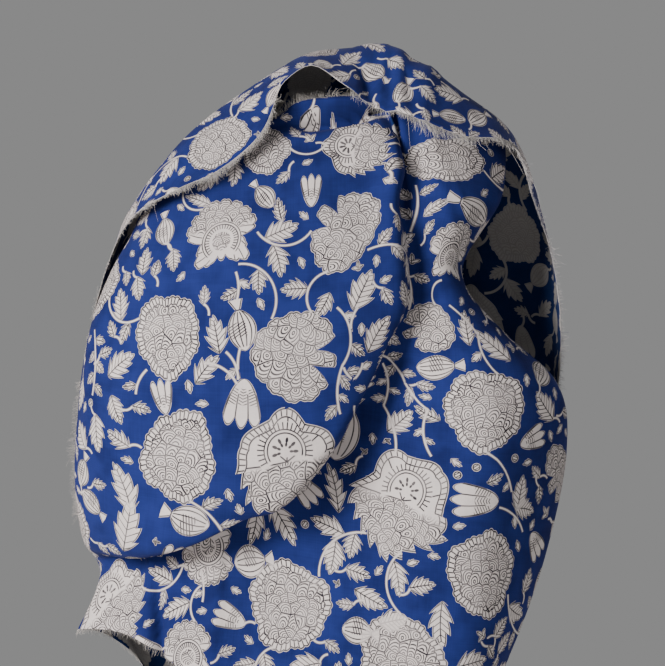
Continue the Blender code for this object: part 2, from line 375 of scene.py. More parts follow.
def zone_weight(zone, columns, rows):
    """How far each place of the net belongs to a zone of the cloth, 0 to 1."""
    seam = len(HOOD) - 0.5
    front = np.clip((columns - seam) / SEAM_BLEND, 0.0, 1.0)[:, None]
    over = np.clip((rows - OVER_ROW) / ROW_BLEND, 0.0, 1.0)[None, :]
    below = np.clip((rows - LAP_ROW) / ROW_BLEND, 0.0, 1.0)[None, :]
    return {
        "front": front * (1.0 - below),
        "lap": front * below,
        "hood": (1.0 - front) * (1.0 - over),
        "back": (1.0 - front) * over,
    }[zone]


def press(net, folds, columns, rows):
    """Raise and sink folds along the outward direction."""
    lift = np.zeros(net.shape[:2])
    for zone, start, end, left, right, height in folds:
        run = np.array([end[0] - start[0], end[1] - start[1]], dtype=float)
        length = np.linalg.norm(run)
        off_x = net[..., 0] - start[0]
        off_z = net[..., 2] - start[1]
        along = (off_x * run[0] + off_z * run[1]) / length
        aside = (off_x * run[1] - off_z * run[0]) / length
        width = np.where(aside * run[1] > 0, right, left)
        past = np.maximum(0.0, np.maximum(-along, along - length))
        shape = np.exp(-((aside / width) ** 2) - (past / FOLD_FADE) ** 2)
        lift += zone_weight(zone, columns, rows) * height * shape
    for across, down, phase, height in SWELLS:
        lift += height * np.sin(net[..., 0] * across + net[..., 2] * down + phase)
    return net + outward(net) * lift[..., None]


# The finest folds, in the same columns: too narrow for the plain solid's net.
FINE_FOLDS = {
    "roll over the pouch's top edge": ("front", (-76, -60), (-10, -54), 10, 4, 8.0),
    "shadow under the roll": ("front", (-60, -70), (-14, -62), 3, 8, -20.0),
    "cliff of the gather": ("front", (1, -64), (3, -116), 3, 14, 6.0),
    "third pleat at the gather": ("front", (10, -72), (16, -150), 3, 3, -3.5),
    "fourth pleat at the gather": ("front", (44, -92), (62, -138), 4, 4, 2.5),
    "left wrinkle of the knot": ("hood", (-18, -34), (-8, -60), 4, 4, -4.5),
    "right wrinkle of the knot": ("hood", (4, -30), (2, -60), 3, 3, -4.0),
    "last wrinkle of the knot": ("hood", (20, -40), (26, -66), 4, 4, -3.5),
    "crease in the left corner of the hem": ("lap", (-202, -500), (-198, -590), 4, 4, -12.0),
    "edge of the layer below the lip": ("lap", (-206, -462), (-204, -508), 3, 6, 3.5),
    "long crease down the lap": ("lap", (-140, -450), (-144, -556), 3, 3, -4.0),
    "shallow hollow in the pouch": ("front", (-70, -300), (-120, -340), 26, 26, -3.0),
    "soft crease from the ear": ("front", (-196, -180), (-170, -240), 10, 10, -3.0),
}
drape = press(fine, list(FOLDS.values()) + list(FINE_FOLDS.values()), fine_columns, fine_rows)
print("small folds pressed:", len(FOLDS), "finest folds:", len(FINE_FOLDS))

# %% [markdown]
# ## Charting the print
# The pattern is a traditional flower trellis: big flowers of a few kinds, striped buds, toothed
# leaves and thin stems, reserved in off-white on blue. A picture could be wrapped over the cloth, but
# its lines would blur in close views. Instead the print is charted like a carver's working drawing:
# the big flowers in view have a place, a size and a turn, as the eye sees them in the folds, and are
# carried over to the flat cloth. The cloth out of view takes the same flowers at a steady repeat.

# %% Big flowers in view
# Columns: kind, part of the cloth, x and z of its middle as seen, length, width, turn to the left.
BLOSSOMS = (
    ("palmette", "pouch", -147, -173, 78, 74, 0),
    ("curled", "pouch", -36, -168, 84, 60, -32),
    ("cabbage", "pouch", -196, -262, 76, 60, 6),
    ("curled", "pouch", -80, -281, 78, 76, 176),
    ("cabbage", "pouch", -186, -373, 82, 64, -12),
    ("great", "pouch", -88, -377, 82, 78, 10),
    ("great", "pouch", -27, -93, 60, 60, 84),
    ("cabbage", "pouch", -108, -96, 56, 50, 40),
    ("cabbage", "hood", -150, -90, 74, 62, -55),
    ("cabbage", "hood", -56, 0, 46, 40, -60),
    ("cabbage", "panel", 56, -104, 80, 50, -96),
    ("palmette", "panel", 60, -189, 66, 56, -18),
    ("curled", "panel", 40, -257, 54, 50, 30),
    ("cabbage", "panel", 92, -330, 78, 76, 0),
    ("great", "panel", 16, -412, 98, 84, -22),
    ("curled", "panel", 158, -388, 66, 46, 20),
    ("cabbage", "panel", 90, -478, 82, 72, 0),
    ("cabbage", "lap", -86, -506, 84, 82, 0),
    ("palmette", "lap", -160, -458, 60, 58, 170),
    ("great", "lap", -246, -502, 84, 78, 30),
    ("palmette", "lap", -178, -548, 62, 56, 10),
    ("cabbage", "panel", 14, -556, 86, 84, 0),
    ("cabbage", "back", 119, -173, 60, 56, 0),
    ("great", "back", 78, -250, 66, 60, 0),
    ("cabbage", "back", -68, -34, 58, 44, 0),
)
# Columns: kind, part of the cloth, x and z of its middle as seen, length, width, turn to the left.
SPRIGS = (
    ("bud", "pouch", -110, -137, 36, 19, 40),
    ("leaf", "pouch", -168, -142, 34, 12, 70),
    ("fingers", "pouch", -66, -132, 34, 24, 0),
    ("leaf", "pouch", -94, -150, 26, 11, 10),
    ("bud", "pouch", -130, -254, 42, 24, 12),
    ("leaf", "pouch", -152, -262, 32, 18, 10),
    ("fingers", "pouch", -128, -325, 40, 36, 176),
    ("leaf", "pouch", -160, -294, 30, 16, -40),
    ("fingers", "pouch", -200, -318, 30, 22, 10),
    ("leaf", "pouch", -20, -222, 38, 22, -25),
    ("leaf", "pouch", -6, -262, 36, 20, -30),
    ("leaflet", "pouch", -24, -202, 13, 13, 0),
    ("leaf", "pouch", -248, -214, 36, 18, -10),
    ("leaf", "pouch", -216, -196, 30, 16, -10),
    ("leaf", "pouch", -238, -290, 34, 22, -50),
    ("leaf", "pouch", -236, -400, 46, 22, 20),
    ("leaf", "pouch", -232, -435, 52, 26, -10),
    ("bud", "pouch", -180, -428, 40, 26, 70),
    ("bud", "panel", 80, -149, 50, 24, 52),
    ("leaf", "panel", 38, -132, 20, 9, -62),
    ("leaf", "panel", 44, -148, 27, 11, -58),
    ("leaf", "panel", 17, -136, 21, 9, 56),
    ("leaf", "panel", 17, -154, 18, 9, 56),
    ("leaf", "panel", 16, -120, 19, 8, 62),
    ("fingers", "pouch", -66, -75, 24, 20, 160),
    ("leaflet", "panel", 24, -196, 18, 15, 0),
    ("bud", "panel", 50, -291, 42, 24, -84),
    ("leaf", "panel", 96, -272, 44, 20, 50),
    ("leaf", "panel", 74, -256, 36, 15, 10),
    ("fingers", "panel", 134, -356, 32, 26, -60),
    ("fingers", "panel", 82, -412, 44, 36, 88),
    ("leaf", "panel", 122, -405, 32, 18, -10),
    ("leaf", "panel", 136, -425, 32, 18, -80),
    ("fingers", "panel", 136, -452, 30, 28, -160),
    ("leaf", "panel", 14, -340, 30, 20, -50),
    ("leaf", "panel", 38, -334, 26, 12, 60),
    ("bud", "lap", -37, -345, 66, 32, -18),
    ("leaf", "lap", -46, -400, 44, 16, 12),
    ("bud", "lap", -118, -466, 38, 28, -84),
    ("leaf", "lap", -92, -432, 44, 20, -150),
    ("leaf", "lap", -118, -432, 40, 16, 170),
    ("leaf", "panel", -12, -500, 34, 18, -120),
    ("leaf", "panel", 8, -520, 28, 20, -80),
    ("bud", "lap", -22, -530, 34, 24, -100),
    ("leaf", "panel", 52, -524, 42, 20, 180),
    ("bud", "hood", 58, -66, 40, 17, 80),
    ("leaflet", "hood", 24, -14, 20, 18, 0),
    ("leaf", "hood", -30, -14, 30, 20, -60),
    ("leaf", "hood", 36, -34, 26, 14, 10),
    ("leaf", "hood", -96, -34, 30, 14, -60),
    ("leaf", "hood", -204, -122, 40, 22, -50),
    ("leaf", "pouch", -56, -236, 24, 14, 150),
    ("leaf", "pouch", -242, -330, 26, 16, -160),
    ("leaf", "panel", 22, -318, 20, 9, 170),
    ("leaf", "panel", 126, -420, 26, 18, -100),
    ("leaf", "panel", 100, -392, 18, 9, -60),
    ("bud", "panel", 134, -450, 30, 20, -170),
)
# Stems that show between the flowers. Columns: part of the cloth, start and end in x and z as seen, bow.
TWIGS = (
    ("pouch", -134, -206, -133, -231, 0.08),
    ("pouch", -130, -274, -131, -302, -0.06),
    ("pouch", -143, -278, -132, -303, 0.12),
    ("pouch", -162, -288, -133, -307, 0.14),
    ("pouch", -214, -294, -224, -316, -0.1),
    ("pouch", -261, -258, -263, -317, 0.08),
    ("pouch", -43, -238, -31, -261, 0.1),
    ("pouch", -24, -238, -30, -260, -0.12),
    ("pouch", -31, -261, -38, -290, 0.1),
    ("pouch", -38, -290, -40, -334, -0.08),
    ("pouch", -37, -292, -28, -303, -0.1),
    ("pouch", -28, -303, -20, -288, -0.1),
    ("panel", 23, -170, 28, -128, -0.04),
    ("panel", -4, -281, 18, -305, 0.1),
    ("panel", 18, -305, 39, -330, -0.06),
    ("panel", 39, -330, 42, -372, -0.12),
    ("panel", -2, -288, -1, -326, 0.1),
    ("panel", -1, -326, 10, -368, 0.08),
    ("panel", 58, -236, 84, -263, 0.05),
    ("panel", 84, -263, 102, -298, -0.14),
    ("panel", 92, -369, 114, -404, 0.1),
    ("panel", 103, -418, 124, -440, 0.12),
    ("lap", -165, -474, -164, -503, 0.06),
)

# Places where no big flower of the repeat may fall. Columns: part of the cloth, x and z as seen.
NO_BIG_FLOWER = (("hood", 36, -38), ("hood", 66, -62), ("hood", 4, -20))

print("big flowers in view:", len(BLOSSOMS), "leaves and buds in view:", len(SPRIGS))

# %% [markdown]
# A place as seen is carried over to the flat cloth in two steps: the nearest place of the net is
# found on the right part of the cloth, and the small rest is turned by how the cloth lies there. The
# same step turns the direction in which a flower grows.

# %% Carry the chart to the flat cloth
def as_seen(net):
    """Where the eye of the photograph sees each place, in millimetres on its plane."""
    scale = VIEW_DISTANCE / (VIEW_DISTANCE + net[..., 1])
    x = VIEW_CENTRE[0] + (net[..., 0] - VIEW_CENTRE[0]) * scale
    z = VIEW_CENTRE[1] + (net[..., 2] - VIEW_CENTRE[1]) * scale
    return np.stack([x, z], axis=-1)


FARTHEST_REST = 6.0
seen = as_seen(drape)
station_of = {name: index for index, name in enumerate(list(HOOD) + list(FRONT))}
# Columns: first and last station, first and last row.
PARTS = {
    "pouch": (station_of["seam"], station_of["valley"], 0.0, 4.2),
    "lap": (station_of["seam"], station_of["valley"], 4.6, 7.0),
    "panel": (station_of["brink"] + 0.6, station_of["tuck"], 0.0, 7.0),
    "hood": (0.0, station_of["nape_low"] + 0.5, 0.0, 1.6),
    "back": (0.0, station_of["nape_low"] + 0.5, 1.4, 7.0),
}


def along_net(net, j, k):
    """Steps across and down the net at one of its places."""
    return np.stack([net[j + 1, k] - net[j - 1, k], net[j, k + 1] - net[j, k - 1]], axis=-1)


def carry(part, x, z, turn):
    """Flat place and heading of a motif seen at x, z and turned to the left by so many degrees."""
    first, last, top, bottom = PARTS[part]
    here = (
        ((fine_columns >= first) & (fine_columns <= last))[:, None]
        & ((fine_rows >= top) & (fine_rows <= bottom))[None, :]
    )
    far = np.where(here, np.hypot(seen[..., 0] - x, seen[..., 1] - z), 1e6)
    j, k = np.unravel_index(np.argmin(far), far.shape)
    j = min(max(j, 1), len(fine_columns) - 2)
    k = min(max(k, 1), len(fine_rows) - 2)
    to_flat = along_net(flat_fine, j, k) @ np.linalg.inv(along_net(seen, j, k))
    angle = math.radians(turn)
    heading = to_flat @ np.array([-math.sin(angle), math.cos(angle)])
    rest = to_flat @ (np.array([x, z]) - seen[j, k])
    rest *= min(1.0, FARTHEST_REST / max(np.linalg.norm(rest), 1e-6))
    return flat_fine[j, k] + rest, math.atan2(heading[1], heading[0])


blossoms = []
for kind, part, x, z, length, width, turned in BLOSSOMS:
    place, heading = carry(part, x, z, turned)
    blossoms.append((kind, place[0], place[1], length, width, heading))
sprigs = []
for kind, part, x, z, length, width, turned in SPRIGS:
    place, heading = carry(part, x, z, turned)
    sprigs.append((kind, place[0], place[1], length, width, heading))
clear = [carry(part, x, z, 0.0)[0] for part, x, z in NO_BIG_FLOWER]
twigs = []
for part, start_x, start_z, end_x, end_z, bow in TWIGS:
    twigs.append((carry(part, start_x, start_z, 0.0)[0], carry(part, end_x, end_z, 0.0)[0], bow))
print("first flower lies flat at", [round(v, 1) for v in blossoms[0][1:3]], "stems in view:", len(twigs))

# %% [markdown]
# ## Filling the trellis
# A carver fills a jaal by rule: no bare ground wider than a leaf, stems that run from flower to
# flower, and leaves that leave the stem by turns on the left and on the right. The same rules are
# written as steps here, with a fixed seed so that the cloth is the same each time. A coarse map of
# the ground remembers what is taken.

# %% Ground that is taken
CELL = 1.5
MARGIN_CELLS = 30
chance = random.Random(7)


class Ground:
    """Map of the flat cloth that tells which cells are already printed."""

    def __init__(self, wide, tall):
        cells = int(wide / CELL) + 2 * MARGIN_CELLS, int(tall / CELL) + 2 * MARGIN_CELLS
        self.taken = np.zeros(cells, dtype=bool)

    def oval(self, x, y, heading, length, width):
        """Cells inside an oval."""
        reach = max(length, width) / 2.0 + CELL
        middle = np.array([x, y])
        low = np.maximum(((middle - reach) / CELL).astype(int) + MARGIN_CELLS, 0)
        high = np.minimum(((middle + reach) / CELL).astype(int) + MARGIN_CELLS + 1, self.taken.shape)
        gx, gy = np.meshgrid(np.arange(low[0], high[0]), np.arange(low[1], high[1]), indexing="ij")
        dx = (gx - MARGIN_CELLS) * CELL - x
        dy = (gy - MARGIN_CELLS) * CELL - y
        along = dx * math.cos(heading) + dy * math.sin(heading)
        across = dy * math.cos(heading) - dx * math.sin(heading)
        inside = (2 * along / length) ** 2 + (2 * across / width) ** 2 < 1.0
        return gx[inside], gy[inside]

    def share(self, *oval):
        """How much of an oval is taken, 0 to 1; off the cloth counts as taken."""
        cells = self.oval(*oval)
        return self.taken[cells].mean() if len(cells[0]) else 1.0

    def take(self, *oval):
        """Mark an oval as printed."""
        self.taken[self.oval(*oval)] = True


flat_size = flat_fine.max(axis=(0, 1))
big_ground = Ground(*flat_size)
charted = Ground(*flat_size)
ground = Ground(*flat_size)
REPEAT = ((112.0, 26.0), (-48.0, 106.0))
REPEAT_KINDS = ("cabbage", "great", "palmette", "cabbage", "curled")
REPEAT_STEPS = range(-12, 16)
REPEAT_START = 40.0
PAST_THE_EDGE = 40
REPEAT_CLEAR = 46.0
NO_FLOWER_REACH = 48.0
for row in REPEAT_STEPS:
    for step in REPEAT_STEPS:
        x = step * REPEAT[0][0] + row * REPEAT[1][0] + REPEAT_START
        y = step * REPEAT[0][1] + row * REPEAT[1][1]
        if not -PAST_THE_EDGE < x < flat_size[0] + PAST_THE_EDGE:
            continue
        if not -PAST_THE_EDGE < y < flat_size[1] + PAST_THE_EDGE:
            continue
        if min(math.hypot(x - b[1], y - b[2]) - b[3] / 2.0 for b in blossoms) < REPEAT_CLEAR:
            continue
        if min(math.hypot(x - place[0], y - place[1]) for place in clear) < NO_FLOWER_REACH:
            continue
        size = 70.0 + 14.0 * chance.random()
        kind = REPEAT_KINDS[(step + 2 * row) % len(REPEAT_KINDS)]
        wide = size * (0.86 + 0.1 * chance.random())
        heading = math.radians(90 + 50 * (chance.random() - 0.5))
        blossoms.append((kind, x, y, size, wide, heading))
for kind, x, y, length, width, heading in blossoms:
    big_ground.take(x, y, heading, length, width)
    ground.take(x, y, heading, length + 5.0, width + 5.0)
for kind, x, y, length, width, heading in sprigs:
    ground.take(x, y, heading, length + 2.0, width + 3.0)
    charted.take(x, y, heading, length, width)
print("big flowers on the whole cloth:", len(blossoms))


# %% Stems and their leaves
def arc_points(start, end, bow, count):
    """Places and headings along an arc that bows to the left by a share of its length."""
    chord = end - start
    length = np.linalg.norm(chord)
    normal = np.array([-chord[1], chord[0]]) / length
    sag = bow * length
    radius = (length * length / 4.0 + sag * sag) / (2.0 * abs(sag))
    centre = (start + end) / 2.0 + normal * (sag - math.copysign(radius, sag))
    first = math.atan2(start[1] - centre[1], start[0] - centre[0])
    last = math.atan2(end[1] - centre[1], end[0] - centre[0])
    sweep = (last - first + math.pi) % (2 * math.pi) - math.pi
    angles = first + sweep * np.linspace(0.0, 1.0, count)
    places = centre + radius * np.stack([np.cos(angles), np.sin(angles)], axis=-1)
    headings = angles + math.copysign(math.pi / 2.0, sweep)
    return places, headings, (centre[0], centre[1], radius, first + sweep / 2.0, abs(sweep) / 2.0)


stems = []
STEM_REACH = 150.0
STEM_ROOM = 4.0
ARC_CHECKS = 24
MOST_STEMS = 3


def rim(blossom, towards):
    """Place on a flower's outline, looking towards another place."""
    _, x, y, length, width, heading = blossom
    angle = math.atan2(towards[1] - y, towards[0] - x)
    along = math.cos(angle - heading) / (length / 2.0)
    across = math.sin(angle - heading) / (width / 2.0)
    reach = 0.94 / math.hypot(along, across)
    return np.array([x + reach * math.cos(angle), y + reach * math.sin(angle)])


def lay_stem(start, end, bow, step, smallest, spread):
    """Draw a stem along an arc and let leaves grow from it by turns, a step apart."""
    arc = arc_points(start, end, bow, 3)[2]
    stems.append(arc)
    spots = max(2, int(2.0 * arc[2] * arc[4] / step))
    places, headings, _ = arc_points(start, end, bow, spots + 2)
    for number in range(1, spots + 1):
        side = 1 if number % 2 else -1
        size = smallest + spread * chance.random()
        heading = headings[number] + side * (0.7 + 0.5 * chance.random())
        wide = size * (0.5 + 0.18 * chance.random())
        middle = places[number] + (size / 2.0 + 0.5) * np.array([math.cos(heading), math.sin(heading)])
        if ground.share(middle[0], middle[1], heading, size, wide) < 0.04:
            sprigs.append(("leaf", middle[0], middle[1], size, wide, heading))
            ground.take(middle[0], middle[1], heading, size + 2.0, wide + 3.5)
    for place in places:
        ground.take(place[0], place[1], 0.0, 5.0, 5.0)


def met_at(place):
    """How much a stem would cover of the flowers and of what is charted."""
    spot = (place[0], place[1], 0.0, STEM_ROOM, STEM_ROOM)
    return big_ground.share(*spot) + charted.share(*spot)


def grow_stem(start, end, bows):
    """Draw a stem if it meets no flower and nothing that is charted; tells whether it did."""
    for bow in bows:
        places = arc_points(start, end, bow, ARC_CHECKS)[0]
        if max(met_at(place) for place in places[3:-3]) < 0.3:
            lay_stem(start, end, bow, 11.0, 18.0, 16.0)
            return True
    return False


for start, end, bow in twigs:
    lay_stem(start, end, bow, 10.0, 10.0, 6.0)
    for place in arc_points(start, end, bow, ARC_CHECKS)[0]:
        charted.take(place[0], place[1], 0.0, STEM_ROOM, STEM_ROOM)
pairs = []
for one, first in enumerate(blossoms):
    for two in range(one + 1, len(blossoms)):
        gap = math.hypot(first[1] - blossoms[two][1], first[2] - blossoms[two][2])
        if gap < STEM_REACH:
            pairs.append((gap, one, two))
joined = [0] * len(blossoms)
for gap, one, two in sorted(pairs):
    if joined[one] >= MOST_STEMS or joined[two] >= MOST_STEMS:
        continue
    start = rim(blossoms[one], blossoms[two][1:3])
    end = rim(blossoms[two], blossoms[one][1:3])
    if np.linalg.norm(end - start) < 10.0:
        continue
    bow = 0.2 + 0.12 * chance.random()
    if chance.random() < 0.5:
        bow = -bow
    if grow_stem(start, end, (bow, -bow)):
        joined[one] += 1
        joined[two] += 1
print("stems:", len(stems), "leaves on stems and in view:", len(sprigs))

# %% Fillers where the ground is still bare
# Columns: kind, length, width, how often it is tried.
FILLERS = (
    ("bud", 36.0, 22.0, 700),
    ("fingers", 34.0, 28.0, 500),
    ("leaf", 34.0, 22.0, 2600),
    ("leaf", 24.0, 15.0, 4200),
    ("leaflet", 16.0, 16.0, 1200),
    ("leaf", 17.0, 10.0, 5200),
    ("berry", 8.0, 8.0, 500),
    ("leaf", 11.5, 6.5, 5200),
    ("leaflet", 9.5, 9.5, 1600),
)
for kind, length, width, tries in FILLERS:
    for _ in range(tries):
        x = chance.uniform(0.0, flat_size[0])
        y = chance.uniform(0.0, flat_size[1])
        heading = chance.uniform(-math.pi, math.pi)
        if ground.share(x, y, heading, length + 2.0, width + 2.0) < 0.015:
            sprigs.append((kind, x, y, length, width, heading))
            ground.take(x, y, heading, length + 3.0, width + 4.0)
            if length > 15.0:
                foot = np.array([x, y]) - 0.46 * length * np.array([math.cos(heading), math.sin(heading)])
                tail = foot - 11.0 * np.array([math.cos(heading + 0.5), math.sin(heading + 0.5)])
                stems.append(arc_points(foot, tail, 0.18, 3)[2])
print("all leaves, buds and berries:", len(sprigs), "all stems:", len(stems))


# %% [markdown]
# ## The cloth as a mesh
# The cloth is thin but it has two faces that look different, so it is built as two layers with a rim
# between them: the printed face, the wrong side, and the torn edge. Every small quad of the mesh is
# told which flower, which leaves and which stems cross it, and where it lies within their drawing.
# Those are plain attributes of the mesh, so the print follows the folds without any picture.

# %% Which drawings cross each quad
quad_middle = (flat_fine[:-1, :-1] + flat_fine[1:, :-1] + flat_fine[1:, 1:] + flat_fine[:-1, 1:]) / 4.0
quad_middle = quad_middle.reshape(-1, 2)
corner_flat = np.stack(
    [flat_fine[:-1, :-1], flat_fine[:-1, 1:], flat_fine[1:, 1:], flat_fine[1:, :-1]], axis=2
).reshape(-1, 4, 2)
quad_reach = np.linalg.norm(corner_flat - quad_middle[:, None], axis=-1).max(axis=1)
NOWHERE = 9999.0
FAR_OFF = NOWHERE * 9


def choose(middles, reaches, slots):
    """For each quad the numbers of the nearest drawings that reach it, -1 where there is none."""
    chosen = np.full((len(quad_middle), slots), -1)
    nearness = np.full((len(quad_middle), slots), 1e6)
    for number, (middle, reach) in enumerate(zip(middles, reaches)):
        far = np.hypot(quad_middle[:, 0] - middle[0], quad_middle[:, 1] - middle[1]) - reach
        quads = np.nonzero(far < quad_reach)[0]
        worst = nearness[quads].argmax(axis=1)
        better = far[quads] < nearness[quads, worst]
        quads, worst = quads[better], worst[better]
        chosen[quads, worst] = number
        nearness[quads, worst] = far[quads]
    return chosen


def drawn(items, kinds, chosen):
    """Place within the drawing at every corner, and its length, width and kind for every quad."""
    rows = [item[1:] + (kinds.index(item[0]),) for item in items]
    rows = np.array(rows + [(FAR_OFF, 0.0, 1.0, 1.0, 0.0, 0.0)])
    mine = rows[chosen]
    offset = corner_flat - mine[:, None, :2]
    cos, sin = np.cos(mine[:, 4])[:, None], np.sin(mine[:, 4])[:, None]
    along = offset[..., 0] * cos + offset[..., 1] * sin
    across = offset[..., 1] * cos - offset[..., 0] * sin
    seed = np.broadcast_to((chosen * 1.7)[:, None] % 6.2, along.shape)
    return np.stack([along, across, seed], axis=-1), mine[:, [2, 3, 5]]


def arc_drawn(chosen):
    """Place within a stem's circle at every corner, and its radius and half opening for every quad."""
    rows = np.array(stems + [(FAR_OFF, 0.0, 1.0, 0.0, 0.0)])
    mine = rows[chosen]
    offset = corner_flat - mine[:, None, :2]
    cos, sin = np.cos(mine[:, 3])[:, None], np.sin(mine[:, 3])[:, None]
    out = offset[..., 0] * cos + offset[..., 1] * sin
    aside = offset[..., 1] * cos - offset[..., 0] * sin
    return np.stack([out, aside, out * 0.0], axis=-1), mine[:, [2, 4, 4]]


BLOSSOM_KINDS = ["cabbage", "palmette", "great", "curled"]
SPRIG_KINDS = ["leaf", "bud", "fingers", "leaflet", "berry"]
SPRIG_SLOTS = 3
STEM_SLOTS = 2
attributes = {}
chosen = choose([b[1:3] for b in blossoms], [0.62 * max(b[3], b[4]) for b in blossoms], 1)
attributes["blossom"] = drawn(blossoms, BLOSSOM_KINDS, chosen[:, 0])
chosen = choose([s[1:3] for s in sprigs], [0.5 * s[3] for s in sprigs], SPRIG_SLOTS)
for slot in range(SPRIG_SLOTS):
    attributes["sprig %d" % slot] = drawn(sprigs, SPRIG_KINDS, chosen[:, slot])


def stem_middle(stem):
    """Middle of a stem's arc."""
    return (stem[0] + stem[2] * math.cos(stem[3]), stem[1] + stem[2] * math.sin(stem[3]))


chosen = choose([stem_middle(s) for s in stems], [s[2] * s[4] * 1.02 + 1.5 for s in stems], STEM_SLOTS)
for slot in range(STEM_SLOTS):
    attributes["stem %d" % slot] = arc_drawn(chosen[:, slot])
print("quads:", len(quad_middle), "attributes:", len(attributes) * 2)


# %% Build the two layers and the rim
def cloth_mesh(net, name):
    """Thin closed sheet round the net: slot 0 printed face, slot 1 wrong side, slot 2 torn rim."""
    wide, tall = net.shape[:2]
    lift = outward(net) * (CLOTH_THICKNESS / 2.0)
    places = np.concatenate([(net + lift).reshape(-1, 3), (net - lift).reshape(-1, 3)]) * MM
    index = np.arange(wide * tall).reshape(wide, tall)
    quads = np.stack([index[:-1, :-1], index[:-1, 1:], index[1:, 1:], index[1:, :-1]], axis=-1)
    quads = quads.reshape(-1, 4)
    under = quads[:, [0, 3, 2, 1]] + wide * tall
    loop = np.concatenate([index[:-1, 0], index[-1, :-1], index[:0:-1, -1], index[0, :0:-1]])
    ahead = np.roll(loop, -1)
    rim = np.stack([loop, ahead, ahead + wide * tall, loop + wide * tall], axis=-1)
    mesh = bpy.data.meshes.new(name)
    mesh.from_pydata(places.tolist(), [], np.concatenate([quads, under, rim]).tolist())
    slots = np.repeat([0, 1, 2], [len(quads), len(under), len(rim)])
    mesh.polygons.foreach_set("material_index", slots)
    mesh.polygons.foreach_set("use_smooth", np.ones(len(slots), dtype=bool))
    flat_corners = np.zeros((len(mesh.loops), 2))
    flat_corners[: len(quads) * 4] = corner_flat.reshape(-1, 2)
    flat_corners[len(quads) * 4 : len(quads) * 8] = corner_flat[:, [0, 3, 2, 1]].reshape(-1, 2)
    mesh.uv_layers.new(name="flat").data.foreach_set("uv", (flat_corners * MM).ravel())
    for key, (place, make) in attributes.items():
        corner = np.full((len(mesh.loops), 3), NOWHERE)
        corner[: len(quads) * 4] = place.reshape(-1, 3)
        corner[len(quads) * 4 : len(quads) * 8] = place[:, [0, 3, 2, 1]].reshape(-1, 3)
        placed = mesh.attributes.new(key + " place", "FLOAT_VECTOR", "CORNER")
        placed.data.foreach_set("vector", corner.ravel())
        face = np.ones((len(slots), 3))
        face[: len(quads) * 2] = np.concatenate([make, make])
        made = mesh.attributes.new(key + " make", "FLOAT_VECTOR", "FACE")
        made.data.foreach_set("vector", face.ravel())
    mesh.update()
    return mesh


cloth = bpy.data.objects.new("printed_cloth", cloth_mesh(drape, "printed cloth"))
bpy.context.scene.collection.objects.link(cloth)
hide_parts("cloth")
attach(cloth, "root")
print("cloth quads:", len(cloth.data.polygons))


# %% [markdown]
# ## The drawing of each motif
# The drawings are formulas, as a carver sets them out with compass and ruler: a flower is a circle
# whose edge is scalloped, with a hatched rim and a filling of its own; a leaf is a pointed oval with
# teeth, a midrib and veins. Each is a shader node group that reads the place within the drawing and
# puts out two masks: where the ground stays off-white, and where the dark outline block prints.
# Writing nodes one by one is slow to read, so a small helper lets them be written as sums.

# %% Sums that become nodes
LINE_WEIGHT = 1.32


class Term:
    """A number that changes over the surface; sums of terms become math nodes."""

    def __init__(self, tree, value):
        self.tree = tree
        self.value = value

    def math(self, operation, *others):
        node = self.tree.nodes.new("ShaderNodeMath")
        node.operation = operation
        for socket, value in zip(node.inputs, (self,) + others):
            value = value.value if isinstance(value, Term) else value
            if isinstance(value, bpy.types.NodeSocket):
                self.tree.links.new(value, socket)
            else:
                socket.default_value = value
        return Term(self.tree, node.outputs[0])

    def __add__(self, other):
        return self.math("ADD", other)

    def __sub__(self, other):
        return self.math("SUBTRACT", other)

    def __rsub__(self, other):
        return Term(self.tree, float(other)).math("SUBTRACT", self)

    def __mul__(self, other):
        return self.math("MULTIPLY", other)

    def __truediv__(self, other):
        return self.math("DIVIDE", other)

    __radd__ = __add__
    __rmul__ = __mul__

    def size(self):
        return self.math("ABSOLUTE")

    def sine(self):
        return self.math("SINE")

    def cosine(self):
        return self.math("COSINE")

    def least(self, other):
        return self.math("MINIMUM", other)

    def most(self, other):
        return self.math("MAXIMUM", other)

    def inside(self, soft=0.35):
        """1 where the distance is above zero, 0 where it is below, with a soft step."""
        node = self.math("MULTIPLY_ADD", 1.0 / soft, 0.5)
        node.value.node.use_clamp = True
        return node

    def line(self, half, soft=0.35):
        """1 on a line where the distance is zero."""
        return (half * LINE_WEIGHT - self.size()).inside(soft)

    def repeats(self, step):
        """Distance to the nearest of many lines that are a step apart."""
        return (self / step).math("FRACT") * step - step / 2.0

    def isnear(self, kind):
        """1 where the kind is this one."""
        return self.math("COMPARE", float(kind), 0.4)


def reach(tree, x, y):
    """Distance from the middle."""
    return (x * x + y * y).math("SQRT")


def rays(angle, count, shift=0.0):
    """Angle to the nearest of so many rays round the middle."""
    return (angle * (count / (2 * math.pi)) + shift).repeats(1.0) * (2 * math.pi / count)


def new_group(name, inputs, outputs):
    """Empty node group with named sockets; gives the group and its inputs as terms."""
    tree = bpy.data.node_groups.new(name, "ShaderNodeTree")
    for label, kind in inputs:
        tree.interface.new_socket(label, in_out="INPUT", socket_type=kind)
    for label, kind in outputs:
        tree.interface.new_socket(label, in_out="OUTPUT", socket_type=kind)
    entry = tree.nodes.new("NodeGroupInput")
    exit_node = tree.nodes.new("NodeGroupOutput")
    return tree, entry, exit_node


def parts_of(tree, socket):
    """The three parts of a vector as terms."""
    node = tree.nodes.new("ShaderNodeSeparateXYZ")
    tree.links.new(socket, node.inputs[0])
    return [Term(tree, output) for output in node.outputs]


print("sums ready")

# %% [markdown]
# A big flower is one of four kinds. The cabbage rose has a hatched, ruffled rim and is full of small
# overlapping petals. The palmette has a ringed heart, a frilled crown and two flares at its foot. The
# great flower has a seed disc with dots, smooth hatched petals above and a ragged foot. The curled
# flower is all small petals and has three fingers on one side.

